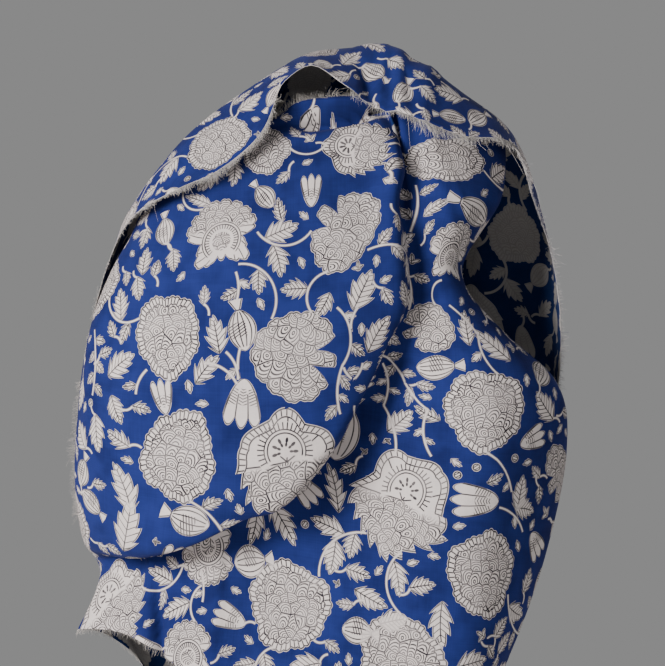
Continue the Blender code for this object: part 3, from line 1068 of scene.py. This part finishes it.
# %% The big flowers
DRAWING_INPUTS = (("Place", "NodeSocketVector"), ("Make", "NodeSocketVector"))
DRAWING_OUTPUTS = (("Reserve", "NodeSocketFloat"), ("Outline", "NodeSocketFloat"))
PETAL_SIZE = 9.5
STROKE_STEP = 2.3


def cells(tree, feature, along, across, output):
    """Irregular cells over the drawing, one for each small petal."""
    place = tree.nodes.new("ShaderNodeCombineXYZ")
    tree.links.new(along.value, place.inputs["X"])
    tree.links.new(across.value, place.inputs["Y"])
    cell = tree.nodes.new("ShaderNodeTexVoronoi")
    cell.voronoi_dimensions = "2D"
    cell.feature = feature
    cell.inputs["Scale"].default_value = 1.0
    cell.inputs["Randomness"].default_value = 0.8
    tree.links.new(place.outputs[0], cell.inputs["Vector"])
    return cell.outputs[output]


def small_petals(tree, along, across, seed, length):
    """Lines of many small overlapping petals that open away from the flower's foot."""
    foot_way = along + length * 0.42
    far = reach(tree, foot_way, across).most(1.0)
    bend = (far * 0.21 + seed).sine() * 1.4
    u = (along + bend) / PETAL_SIZE + seed * 5.3
    v = (across - bend) / PETAL_SIZE + seed * 3.1
    middle_u, middle_v, _ = parts_of(tree, cells(tree, "F1", u, v, "Position"))
    crease = Term(tree, cells(tree, "DISTANCE_TO_EDGE", u, v, "Distance")) * PETAL_SIZE
    from_u = (u - middle_u) * PETAL_SIZE + foot_way / far * 3.4
    from_v = (v - middle_v) * PETAL_SIZE + across / far * 3.4
    strokes = reach(tree, from_u, from_v).repeats(STROKE_STEP).line(0.36) * (crease - 0.9).inside()
    return strokes.most(crease.line(0.4))


def draw_blossom():
    """Node group that draws a big flower."""
    tree, entry, exit_node = new_group("big flower", DRAWING_INPUTS, DRAWING_OUTPUTS)
    along, across, seed = parts_of(tree, entry.outputs["Place"])
    length, width, kind = parts_of(tree, entry.outputs["Make"])
    cabbage, palmette, great, curled = [kind.isnear(number) for number in range(4)]
    up = along / (length * 0.5)
    side = across / (width * 0.5)
    half = (length + width) * 0.25
    out = reach(tree, up, side)
    angle = side.math("ARCTAN2", up)
    turned = angle.size()

    # The edge: scallops all round, frills, lobes, the palmette's flares and the fingers of the curled one.
    scallop = (angle * (5.5 * cabbage + 8.5 * palmette + 3.5 * great + 6.5 * curled) + seed).sine().size()
    frill = (angle * 17.0 + seed * 2.0).sine().size() * (0.035 * cabbage + 0.02 * curled + 0.03 * palmette)
    lower = (turned * 2.5 - 3.4).most(0.0).least(1.0)
    flare = (turned * 5.6 - 13.7).cosine() * 0.17 * lower - 0.14 * lower
    lobes = (angle * 5.0 + seed * 3.0).cosine() * (0.035 * cabbage + 0.07 * great)
    lobes = lobes + (angle * 3.0 + seed).cosine() * (0.05 * cabbage + 0.05 * curled)
    ragged = (angle * 3.4 + seed).math("FRACT") * 0.17 * lower * great
    finger = ((angle - 1.45).size() - 0.36).size()
    notch = (1.0 - finger / 0.2).most(0.0) * 0.46 * curled
    edge = 0.87 + scallop * (0.06 * cabbage + 0.07 * palmette + 0.08 * great + 0.07 * curled)
    edge = edge + frill + lobes + flare * palmette + ragged - notch
    share = out / edge
    inward = (1.0 - share) * half * edge
    reserve = inward.inside()
    outline = (inward - 1.1).line(0.5)

    # The hatched rim of the cabbage rose and of the great flower's upper petals.
    hatch_spots = rays(angle, 52.0) * out * half
    top_side = (1.75 - turned).inside(0.2)
    rimmed = cabbage.most(great * top_side)
    hatch = hatch_spots.line(0.42) * (inward - 1.6).inside() * (6.4 - inward).inside() * rimmed
    ring = (inward - 7.2).line(0.46) * rimmed

    # The ringed heart: two rings, dashes round them, and the great flower's dots.
    heart_up = up - 0.2 * great + 0.16 * palmette
    heart = reach(tree, heart_up, side)
    heart_angle = side.math("ARCTAN2", heart_up)
    heart_far = heart * half
    heart_size = half * (0.34 + 0.1 * palmette)
    hearted = great + palmette
    ring_lines = ((heart_far - heart_size).line(0.46)).most((heart_far - heart_size - 2.6).line(0.4))
    open_foot = (2.35 - 0.35 * great - heart_angle.size()).inside(0.08)
    rings = ring_lines * hearted * open_foot
    spokes = rays(heart_angle, 34.0) * heart_far
    inner_band = (heart_size - heart_far).inside() * (heart_far - heart_size + 4.4).inside() * palmette
    outer_band = (heart_far - heart_size - 2.6).inside() * (heart_size + 8.2 - heart_far).inside()
    dashes = spokes.line(0.4) * inner_band.most(outer_band * great) * open_foot
    dot_aside = rays(heart_angle, 9.0) * heart_far
    outer_dots = (1.2 - reach(tree, dot_aside, (heart_far - heart_size * 0.62) * 0.55)).inside()
    inner_dots = (1.0 - reach(tree, dot_aside, (heart_far - heart_size * 0.38) * 0.6)).inside()
    dots = outer_dots.most(inner_dots) * open_foot * great

    # Where small petals fill a flower, and the veins and folds of the smooth petals.
    petals = small_petals(tree, along, across, seed, length)
    outside_heart = (heart_far - heart_size - 3.6 - 5.0 * great).inside()
    below_seeds = (heart_angle.size() - 2.15).inside(0.1) * (heart_far - heart_size * 0.34).inside() * great
    outside_heart = outside_heart.most(below_seeds)
    squiggles = (heart_size * 0.55 - heart_far).inside() * palmette
    curly = cabbage * (inward - 7.6).inside() + curled * (inward - 2.0).inside()
    curly = curly + great * (turned - 1.7).inside(0.2) * (inward - 2.0).inside() * outside_heart
    crown_fill = outside_heart * (inward - 1.8).inside() * (1.35 - turned).inside(0.2)
    curly = curly + palmette * crown_fill.most(squiggles)
    sweep = angle + (out - 0.4) * 0.5 + (angle * 5.0).sine() * 0.05
    veins = rays(sweep, 21.0, seed) * out * half
    flares = outside_heart * (inward - 1.8).inside() * (turned - 1.35).inside(0.2) * palmette
    side_lines = veins.line(0.42) * flares
    petal_folds = rays(angle, 7.0, seed / math.pi) * out * half
    folds = petal_folds.line(0.46) * outside_heart * (inward - 7.2).inside() * great * top_side

    ink = outline
    for mark in (hatch, ring, rings, dashes, dots, petals * curly, side_lines, folds):
        ink = ink.most(mark)
    tree.links.new(reserve.value, exit_node.inputs["Reserve"])
    tree.links.new((ink * reserve).value, exit_node.inputs["Outline"])
    print("big flower nodes:", len(tree.nodes))
    return tree


big_flower = draw_blossom()

# %% [markdown]
# The small motifs share one group as well: jagged leaves with a midrib and veins, striped buds with a
# square cap leaf, half open buds with petals like fingers, small pointed leaflets, and striped berries.

# %% Leaves, buds, leaflets and berries
def draw_sprig():
    """Node group that draws a small motif."""
    tree, entry, exit_node = new_group("leaf, bud or berry", DRAWING_INPUTS, DRAWING_OUTPUTS)
    along, across, seed = parts_of(tree, entry.outputs["Place"])
    length, width, kind = parts_of(tree, entry.outputs["Make"])
    leaf, bud, fingers, leaflet, berry = [kind.isnear(number) for number in range(5)]
    run = along / length + 0.5
    held = run.most(0.001).least(0.999)
    half = width * 0.5
    bent = across - (held * (1.0 - held)) * (seed - 3.0) * 0.07 * length * (leaf + bud * 0.5)
    aside = bent.size()

    # Leaf and bud: half the width of their outline along the midrib, with teeth on the leaf.
    pitch = (length * (0.20 + seed.cosine().size() * 0.10)).most(4.4)
    depth = (0.30 + (seed * 2.0).sine().size() * 0.30) * half
    teeth = ((along - aside * 0.5) / pitch + seed + bent.math("SIGN") * 0.21).math("FRACT")
    arch = (held * math.pi).sine()
    leaf_half = arch.math("POWER", 0.8) * (1.2 - 0.5 * held) * half
    leaf_half = leaf_half + (teeth - 0.55) * depth.least(4.8) * arch.math("POWER", 0.5)
    body = (held / 0.8).least(1.0)
    bud_half = (body * math.pi).sine().most(0.0).math("POWER", 0.6) * half
    bud_half = bud_half.most((held - 0.8).inside(0.02) * half * (0.2 + (held - 0.8) * 1.6))
    profile = leaf * leaf_half + bud * bud_half
    ends = (held - run).size() * -400.0
    inward = profile - aside + ends

    # Half open bud: a cup that ends in petals like fingers.
    cup = held.math("POWER", 0.5) * half * (1.14 - 0.2 * held)
    count = bent / cup.most(0.3) * 1.5 + 0.5
    tip = (count.math("FRACT") * 2.0 - 1.0).size()
    finger_end = 0.98 - 0.2 * tip * tip - 0.05 * (count - 0.5).size()
    cup_inward = (cup - aside).least((finger_end - run) * length) + ends
    between_fingers = (0.5 - count.repeats(1.0).size()) * cup * 0.667

    # Leaflet with one long point and two short ones, and the round berry.
    round_far = reach(tree, along, across)
    round_angle = across.math("ARCTAN2", along)
    long_point = (1.0 - round_angle.size() / 0.8).most(0.0).math("POWER", 1.3)
    side_point = (1.0 - ((round_angle + (seed - 3.0) * 0.1).size() - 1.45).size() / 0.62).most(0.0)
    lobed = 0.42 + 0.72 * long_point + 0.48 * side_point - 0.08 * round_angle.cosine()
    leaflet_inward = half * lobed - round_far
    berry_inward = half * 0.92 - round_far
    inward = inward * (leaf + bud) + cup_inward * fingers + leaflet_inward * leaflet + berry_inward * berry
    reserve = inward.inside()
    outline = (inward - 0.95).line(0.42)

    # The fine lines inside each motif.
    midrib = bent.line(0.42) * (0.84 - run).inside(0.03) * leaf * (length - 13.0).inside(1.0)
    vein_step = (length * 0.13).most(3.2)
    vein_run = (along - aside * 0.8) / vein_step
    veined = (inward - 1.6).inside() * (length - 14.0).inside(1.0) * leaf
    vein = (vein_run.repeats(1.0) * vein_step).line(0.36) * veined
    stripes = ((bent / bud_half.most(0.5) * 2.4).repeats(1.0) * bud_half * 0.42).line(0.42)
    waist = (0.20 - (run - 0.42).size() * 1.4).inside(0.03)
    cross_hatch = (along + across * 0.4).repeats(2.4).line(0.38) * (bent + half * 0.3).inside() * waist
    striped = stripes.most(cross_hatch) * (0.76 - run).inside(0.02) * (run - 0.08).inside(0.02) * bud
    neck = (along - length * 0.29).line(0.42) * bud
    finger_lines = between_fingers.line(0.42) * (run - 0.3).inside(0.03) * fingers
    finger_hatch = (along + aside * 0.5).repeats(2.5).line(0.36) * (0.52 - run).inside(0.03)
    finger_hatch = finger_hatch * (run - 0.2).inside(0.03) * (cup_inward - 1.4).inside()
    finger_hatch = finger_hatch * (between_fingers - 0.8).inside() * fingers
    ribs = across.line(0.36).most((along - aside * 0.25).line(0.3)) * (leaflet_inward - 1.4).inside()
    ribs = ribs * leaflet * (length - 9.0).inside(1.0)
    berry_lines = across.repeats(2.2).line(0.36) * (berry_inward - 1.0).inside() * berry

    ink = outline
    for mark in (midrib, vein, striped, neck, finger_lines, finger_hatch, ribs, berry_lines):
        ink = ink.most(mark)
    tree.links.new(reserve.value, exit_node.inputs["Reserve"])
    tree.links.new((ink * reserve).value, exit_node.inputs["Outline"])
    print("small motif nodes:", len(tree.nodes))
    return tree


def draw_stem():
    """Node group that draws a stem as part of a circle."""
    tree, entry, exit_node = new_group("stem", DRAWING_INPUTS, DRAWING_OUTPUTS)
    out, aside, _ = parts_of(tree, entry.outputs["Place"])
    radius, opening, _ = parts_of(tree, entry.outputs["Make"])
    far = reach(tree, out, aside) - radius
    angle = aside.math("ARCTAN2", out).size()
    within = (opening - angle) * radius
    inward = (1.25 - far.size()).least(within)
    reserve = inward.inside()
    outline = (far.size() - 1.1).line(0.26) * reserve
    tree.links.new(reserve.value, exit_node.inputs["Reserve"])
    tree.links.new(outline.value, exit_node.inputs["Outline"])
    return tree


small_motif = draw_sprig()
stem_line = draw_stem()

# %% [markdown]
# ## The whole print
# One group gathers the drawings that cross a place: what is reserved stays off-white, and the outline
# block prints over it. Hand printing is never exact, so the dark lines vary in strength and the blue
# creeps a little into the white.

# %% Gather the print
PRINT_OVER = 0.85
PRINT_UNDER = 0.6


def draw_print():
    """Node group with the masks of the whole block print."""
    tree, _, exit_node = new_group("block print", (), DRAWING_OUTPUTS)
    reserve = ink = None
    slots = [("blossom", big_flower)]
    slots += [("sprig %d" % slot, small_motif) for slot in range(SPRIG_SLOTS)]
    slots += [("stem %d" % slot, stem_line) for slot in range(STEM_SLOTS)]
    for key, drawing in slots:
        node = tree.nodes.new("ShaderNodeGroup")
        node.node_tree = drawing
        for part in ("place", "make"):
            read = tree.nodes.new("ShaderNodeAttribute")
            read.attribute_name = "%s %s" % (key, part)
            tree.links.new(read.outputs["Vector"], node.inputs[part.capitalize()])
        white = Term(tree, node.outputs["Reserve"])
        dark = Term(tree, node.outputs["Outline"])
        if reserve is None:
            reserve, ink = white, dark
        else:
            ink = (ink * (1.0 - white * PRINT_OVER)).most(dark * (1.0 - reserve * PRINT_UNDER))
            reserve = reserve.most(white)
    tree.links.new(reserve.value, exit_node.inputs["Reserve"])
    tree.links.new(ink.value, exit_node.inputs["Outline"])
    return tree


block_print = draw_print()


# %% [markdown]
# ## Plain weave
# This cotton has about 20 threads to the centimetre each way. Up close the threads pass over and
# under each other, and some are thicker than others. One group makes that as a height and as a slight
# change of shade, from the flat places of the cloth, and every cotton material uses it.

# %% Weave and slubs
THREADS_PER_METRE = 2000.0


def draw_weave():
    """Node group: height of the threads and a shade for thick and thin ones."""
    outputs = (("Height", "NodeSocketFloat"), ("Shade", "NodeSocketFloat"))
    tree, _, exit_node = new_group("plain weave", (), outputs)
    flat_place = tree.nodes.new("ShaderNodeUVMap")
    flat_place.uv_map = "flat"
    x, y, _ = parts_of(tree, flat_place.outputs[0])
    warp = (x * (THREADS_PER_METRE * math.pi)).sine()
    weft = (y * (THREADS_PER_METRE * math.pi)).sine()
    over = warp * weft
    slubs = []
    for stretch in ((900.0, 18.0, 1.0), (18.0, 900.0, 1.0)):
        scale = tree.nodes.new("ShaderNodeMapping")
        scale.inputs["Scale"].default_value = stretch
        tree.links.new(flat_place.outputs[0], scale.inputs["Vector"])
        noise = tree.nodes.new("ShaderNodeTexNoise")
        noise.inputs["Scale"].default_value = 1.0
        noise.inputs["Detail"].default_value = 2.0
        tree.links.new(scale.outputs[0], noise.inputs["Vector"])
        slubs.append(Term(tree, noise.outputs["Fac"]))
    shade = (slubs[0] + slubs[1]) * 0.5
    height = over * 0.5 + shade * 1.6
    tree.links.new(height.value, exit_node.inputs["Height"])
    tree.links.new(shade.value, exit_node.inputs["Shade"])
    return tree


plain_weave = draw_weave()


# %% [markdown]
# ## Cotton materials
# The printed face is blue dyed cotton with the off-white reserve and the dark outline. The wrong side
# shows the same drawing, because the dye goes through the cloth, with hardly any outline. The real wrong
# side is paler, but here its white and blue are set darker than the face's, as painted shade for the dark
# hollow inside the hood, where the wrong side shows. Both are matt, with hardly any gloss, and both take
# the weave as a bump.

# %% Printed face and wrong side
def mixed(tree, share, one, two):
    """Colour between two colours by a term; either may be a colour or a socket."""
    node = tree.nodes.new("ShaderNodeMix")
    node.data_type = "RGBA"
    inputs = node.inputs["Factor"], node.inputs["A"], node.inputs["B"]
    for value, socket in zip((share.value, one, two), inputs):
        if isinstance(value, bpy.types.NodeSocket):
            tree.links.new(value, socket)
        else:
            socket.default_value = value
    return node.outputs["Result"]


def darker(colour, share):
    """The same colour, darker."""
    return tuple(part * share for part in colour[:3]) + (1.0,)


def noise_term(tree, scale, detail, low, high):
    """Soft noise over the flat cloth, spread from 0 to 1 between two of its levels."""
    flat_place = tree.nodes.new("ShaderNodeUVMap")
    flat_place.uv_map = "flat"
    noise = tree.nodes.new("ShaderNodeTexNoise")
    noise.inputs["Scale"].default_value = scale
    noise.inputs["Detail"].default_value = detail
    tree.links.new(flat_place.outputs[0], noise.inputs["Vector"])
    spread = tree.nodes.new("ShaderNodeMapRange")
    spread.inputs["From Min"].default_value = low
    spread.inputs["From Max"].default_value = high
    tree.links.new(noise.outputs["Fac"], spread.inputs["Value"])
    return Term(tree, spread.outputs["Result"])


def cotton(name, blue, deep_blue, white, ink, ink_strength, roughness):
    """Woven cotton with the block print in the colours given."""
    material = bpy.data.materials.new(name)
    material.use_nodes = True
    tree = material.node_tree
    shader = tree.nodes["Principled BSDF"]
    printed = tree.nodes.new("ShaderNodeGroup")
    printed.node_tree = block_print
    weave = tree.nodes.new("ShaderNodeGroup")
    weave.node_tree = plain_weave
    shade = Term(tree, weave.outputs["Shade"])
    mottle = noise_term(tree, 9.0, 3.0, 0.35, 0.68)
    patches = noise_term(tree, 42.0, 2.0, 0.40, 0.66)
    worn = noise_term(tree, 60.0, 2.0, 0.3, 0.62)
    ground_colour = mixed(tree, mottle * 0.45 + patches * 0.5 + (shade - 0.5) * 0.9, blue, deep_blue)
    reserve = Term(tree, printed.outputs["Reserve"])
    outline = Term(tree, printed.outputs["Outline"])
    washed = mixed(tree, (0.62 - shade) * 1.1 + mottle * 0.12, white, darker(white, 0.8))
    colour = mixed(tree, reserve * (0.93 + 0.07 * worn), ground_colour, washed)
    colour = mixed(tree, outline * (0.74 + 0.26 * worn) * ink_strength, colour, ink)
    tree.links.new(colour, shader.inputs["Base Color"])
    shader.inputs["Roughness"].default_value = roughness
    shader.inputs["Specular IOR Level"].default_value = 0.05
    shader.inputs["Sheen Weight"].default_value = 0.02
    shader.inputs["Sheen Roughness"].default_value = 0.5
    bump = tree.nodes.new("ShaderNodeBump")
    bump.inputs["Strength"].default_value = 0.35
    bump.inputs["Distance"].default_value = 0.00025
    tree.links.new(weave.outputs["Height"], bump.inputs["Height"])
    tree.links.new(bump.outputs["Normal"], shader.inputs["Normal"])
    return material


FACE_BLUE = (0.0155, 0.0250, 0.136, 1.0)
FACE_DEEP_BLUE = (0.0078, 0.0120, 0.070, 1.0)
RESERVE_WHITE = (0.63, 0.57, 0.55, 1.0)
OUTLINE_INK = (0.016, 0.014, 0.020, 1.0)
# Wrong side colours: partly its own fainter print, partly painted shade, set darker than the face for the
# hollow inside the hood.
BACK_BLUE_PAINTED_SHADE = (0.012, 0.03, 0.12, 1.0)
BACK_DEEP_BLUE_PAINTED_SHADE = (0.008, 0.02, 0.085, 1.0)
BACK_WHITE_PAINTED_SHADE = (0.40, 0.38, 0.365, 1.0)
FRAY_WHITE = (0.60, 0.56, 0.52, 1.0)
face = cotton("printed_face", FACE_BLUE, FACE_DEEP_BLUE, RESERVE_WHITE, OUTLINE_INK, 1.0, 0.86)
# The wrong side material carries painted shade in its darker white and blue.
wrong_side_painted_shade = cotton("wrong_side_painted_shade", BACK_BLUE_PAINTED_SHADE, BACK_DEEP_BLUE_PAINTED_SHADE, BACK_WHITE_PAINTED_SHADE, OUTLINE_INK, 0.22, 0.9)
print("cotton materials:", face.name, wrong_side_painted_shade.name)

# %% [markdown]
# ## Frayed edges
# The cloth was torn to length, so every edge is raw: the outermost cross threads have dropped out and
# leave a fringe of short ends. Real ends differ in length, lean and curl, and some lie in bundles. A
# hair system would not export, so each end is a thin three sided tube and all are joined in one mesh.

# %% Thread material
def thread_material():
    """Undyed cotton thread; some ends are a little blue, where the dye crept in."""
    material = bpy.data.materials.new("frayed_thread")
    material.use_nodes = True
    tree = material.node_tree
    shader = tree.nodes["Principled BSDF"]
    dyed = tree.nodes.new("ShaderNodeAttribute")
    dyed.attribute_name = "dyed"
    fibre = tree.nodes.new("ShaderNodeTexNoise")
    fibre.inputs["Scale"].default_value = 1400.0
    place = tree.nodes.new("ShaderNodeTexCoord")
    tree.links.new(place.outputs["Object"], fibre.inputs["Vector"])
    pale = mixed(tree, Term(tree, fibre.outputs["Fac"]), FRAY_WHITE, darker(FRAY_WHITE, 0.6))
    colour = mixed(tree, Term(tree, dyed.outputs["Fac"]), pale, FACE_DEEP_BLUE)
    tree.links.new(colour, shader.inputs["Base Color"])
    shader.inputs["Roughness"].default_value = 0.9
    shader.inputs["Sheen Weight"].default_value = 0.25
    bump = tree.nodes.new("ShaderNodeBump")
    bump.inputs["Strength"].default_value = 0.3
    bump.inputs["Distance"].default_value = 0.0002
    tree.links.new(fibre.outputs["Fac"], bump.inputs["Height"])
    tree.links.new(bump.outputs["Normal"], shader.inputs["Normal"])
    return material


frayed_thread = thread_material()
for material in (face, wrong_side_painted_shade, frayed_thread):
    cloth.data.materials.append(material)


# %% Threads along the torn edges
THREAD_RADIUS = 0.13
THREAD_RINGS = 4
THREAD_SIDES = 3
ROOT_INSIDE = 0.8
FLYAWAY_SHARE = 0.006
FLYAWAY_LENGTH = 2.6
FLYAWAY_DROOP = 0.9
WHOLE_EDGE = (0.0, 99.0)


class Threads:
    """Many thin tubes gathered into one mesh."""

    def __init__(self):
        self.places = []
        self.faces = []
        self.dyed = []

    def add(self, path, radius, dye):
        """One thread along a path of places in millimetres."""
        first = len(self.places)
        path = [Vector(p) for p in path]
        for ring, middle in enumerate(path):
            ahead = path[min(ring + 1, len(path) - 1)] - path[max(ring - 1, 0)]
            aside = ahead.cross(Vector((0.31, 0.77, 0.56))).normalized()
            other = ahead.cross(aside).normalized()
            thin = radius * (1.0 - 0.45 * ring / (len(path) - 1))
            for corner in range(THREAD_SIDES):
                turned = corner * 2.0 * math.pi / THREAD_SIDES
                off = aside * math.cos(turned) * thin + other * math.sin(turned) * thin
                self.places.append((middle + off) * MM)
                self.dyed.append(dye)
        for ring in range(len(path) - 1):
            for corner in range(THREAD_SIDES):
                a = first + ring * THREAD_SIDES + corner
                b = first + ring * THREAD_SIDES + (corner + 1) % THREAD_SIDES
                self.faces.append((a, b, b + THREAD_SIDES, a + THREAD_SIDES))
        last = first + (len(path) - 1) * THREAD_SIDES
        self.faces.append((first + 2, first + 1, first))
        self.faces.append((last, last + 1, last + 2))

    def build(self, name, material):
        """Object with all the threads."""
        mesh = bpy.data.meshes.new(name)
        mesh.from_pydata([tuple(p) for p in self.places], [], self.faces)
        mesh.attributes.new("dyed", "FLOAT", "POINT").data.foreach_set("value", self.dyed)
        mesh.materials.append(material)
        thing = bpy.data.objects.new(name, mesh)
        bpy.context.scene.collection.objects.link(thing)
        return thing


def edge_line(net, normals, which):
    """Places, outward directions and face directions along one edge of the net."""
    if which == "top":
        return net[:, 0], net[:, 0] - net[:, 1], normals[:, 0]
    if which == "hem":
        return net[:, -1], net[:, -1] - net[:, -2], normals[:, -1]
    if which == "start":
        return net[0], net[0] - net[1], normals[0]
    if which == "side":
        rows = np.nonzero((fine_rows > 1.7) & (fine_rows < 3.7))[0]
        first = int(np.argmin(abs(fine_columns - station_of["seam"] - 0.3)))
        last = int(np.argmin(abs(fine_columns - station_of["cheek"])))
        line = np.array([net[first + int(np.argmin(seen[first:last, row, 0])), row] for row in rows])
        return line, np.tile([-1.0, -0.25, 0.0], (len(line), 1)), np.tile([0.0, -1.0, 0.0], (len(line), 1))
    return net[-1], net[-1] - net[-2], normals[-1]


def fray(threads, which, spacing, shortest, longest, stretch=WHOLE_EDGE, flare=0.0, dye=0.1):
    """Ends of thread along one torn edge, or along the stretch of it between two stations.

    Flare bends the ends towards the side of the printed face. Dye is their usual share of blue.
    """
    line, away, normal = edge_line(drape, outward(drape), which)
    steps = np.linalg.norm(np.diff(line, axis=0), axis=1)
    run = np.concatenate([[0.0], np.cumsum(steps)])
    spot = 0.0
    while spot < run[-1]:
        index = min(int(np.searchsorted(run, spot, side="right")) - 1, len(steps) - 1)
        part = (spot - run[index]) / steps[index]
        if which == "top" and not stretch[0] < fine_columns[index] < stretch[1]:
            spot += spacing
            continue
        foot = Vector(line[index] + (line[index + 1] - line[index]) * part)
        out = Vector(away[index]).normalized()
        face_way = Vector(normal[index]).normalized()
        along = Vector(line[index + 1] - line[index]).normalized()
        length = chance.uniform(shortest, longest)
        length *= 1.0 + 0.5 * math.sin(spot * 0.11) * math.sin(spot * 0.043)
        lean = chance.gauss(0.0, 0.33) + 0.25 * math.sin(spot * 0.19)
        curl = chance.gauss(0.0, 0.22)
        droop = chance.uniform(0.0, 0.35)
        if which in ("top", "hem") and chance.random() < FLYAWAY_SHARE:
            length *= FLYAWAY_LENGTH
            droop = FLYAWAY_DROOP
        path = []
        for ring in range(THREAD_RINGS):
            share = ring / (THREAD_RINGS - 1)
            reach_out = length * share - ROOT_INSIDE * (1.0 - share)
            path.append(
                foot
                + out * reach_out
                + along * (lean * length * share + curl * length * share ** 2)
                + face_way * (chance.gauss(flare, 0.12 + 0.4 * flare) * length * share)
                + Vector((0.0, 0.0, -1.0)) * (droop * length * share ** 2)
            )
        threads.add(path, THREAD_RADIUS * chance.uniform(0.8, 1.25), max(0.0, chance.gauss(dye, 0.22)))
        spot += spacing * chance.uniform(0.5, 1.5)


threads = Threads()
# The rim over the oval hollow is rolled in, so it shows no ends; both brims are the woolliest.
fray(threads, "top", 0.5, 1.6, 5.0, (0.0, station_of["corner"]), dye=0.4)
fray(threads, "top", 0.5, 2.6, 8.5, (station_of["corner"], station_of["hollow_right"] - 0.2))
fray(threads, "top", 0.45, 1.6, 5.4, (0.0, station_of["corner"]), flare=0.6, dye=0.4)
fray(threads, "top", 0.5, 2.6, 8.5, (station_of["hollow_left"] + 0.3, WHOLE_EDGE[1]))
fray(threads, "top", 0.3, 4.5, 12.0, (station_of["temple"] + 0.4, station_of["gather"] + 0.6))
fray(threads, "top", 0.4, 3.5, 9.5, (station_of["band"] - 0.4, station_of["ear_low"]))
fray(threads, "side", 0.35, 1.5, 6.5)
fray(threads, "start", 1.2, 1.5, 4.0)
fray(threads, "end", 1.4, 1.5, 4.0)
fray(threads, "hem", 1.0, 1.8, 4.4)
fringe = threads.build("frayed_edge", frayed_thread)
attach(fringe, "root")
ends = len(threads.places) // (THREAD_SIDES * THREAD_RINGS)
print("thread ends:", ends, "faces:", len(threads.faces))

# %% [markdown]
# ## Floor, light and camera
# The cloth hangs over a plain pale floor in soft studio light: a large light on the left in front, as
# the bright pouch and the dark opening on the right show, a weak fill from the other side, and a soft
# light for the back. The camera looks level from far away with a long lens, and takes in what the
# photograph takes in.

# %% Floor
FLOOR_HALF = 1.9
FLOOR_HEIGHT = -0.78
FLOOR_COLOUR = (0.72, 0.71, 0.69, 1.0)


def plain_floor():
    """Pale matt floor a hand's breadth below the hem."""
    mesh = bmesh.new()
    bmesh.ops.create_grid(mesh, x_segments=1, y_segments=1, size=FLOOR_HALF)
    data = bpy.data.meshes.new("floor")
    mesh.to_mesh(data)
    mesh.free()
    floor = bpy.data.objects.new("floor", data)
    floor.location = (0.0, 0.0, FLOOR_HEIGHT)
    bpy.context.scene.collection.objects.link(floor)
    material = bpy.data.materials.new("pale_floor")
    material.use_nodes = True
    shader = material.node_tree.nodes["Principled BSDF"]
    shader.inputs["Base Color"].default_value = FLOOR_COLOUR
    shader.inputs["Roughness"].default_value = 0.9
    data.materials.append(material)
    return floor


plain_floor()


# %% Lights
def soft_light(name, place, aim, size, power, colour):
    """Large soft light at a place, aimed at another."""
    data = bpy.data.lights.new(name, "AREA")
    data.shape = "SQUARE"
    data.size = size
    data.energy = power
    data.color = colour
    light = bpy.data.objects.new(name, data)
    light.location = place
    light.rotation_euler = (Vector(aim) - Vector(place)).to_track_quat("-Z", "Y").to_euler()
    bpy.context.scene.collection.objects.link(light)
    return light


MIDDLE = (-0.05, 0.0, -0.28)
soft_light("key light", (-1.60, -1.90, 0.28), MIDDLE, 0.9, 116.0, (1.0, 0.97, 0.95))
soft_light("fill light", (1.6, -1.6, 0.1), MIDDLE, 1.4, 5.0, (0.95, 0.97, 1.0))
soft_light("back light", (0.4, 1.8, 0.9), MIDDLE, 1.4, 18.0, (1.0, 1.0, 1.0))
ROOM_GREY = (0.80, 0.80, 0.80, 1.0)
ROOM_STRENGTH = 0.32
world = bpy.data.worlds.new("pale room")
world.use_nodes = True
world.node_tree.nodes["Background"].inputs["Color"].default_value = ROOM_GREY
world.node_tree.nodes["Background"].inputs["Strength"].default_value = ROOM_STRENGTH
bpy.context.scene.world = world

# %% Camera
SENSOR = 36.0
PHOTO_WIDTH = 665
MM_PER_PIXEL = 0.9
camera_data = bpy.data.cameras.new("camera")
camera_data.sensor_fit = "HORIZONTAL"
camera_data.sensor_width = SENSOR
camera_data.lens = SENSOR * VIEW_DISTANCE / (PHOTO_WIDTH * MM_PER_PIXEL)
camera_data.clip_end = 50.0
camera = bpy.data.objects.new("camera", camera_data)
camera.location = (VIEW_CENTRE[0] * MM, -VIEW_DISTANCE * MM, VIEW_CENTRE[1] * MM)
camera.rotation_euler = (math.pi / 2.0, 0.0, 0.0)
bpy.context.scene.collection.objects.link(camera)
bpy.context.scene.camera = camera
print("lens:", round(camera_data.lens), "mm")
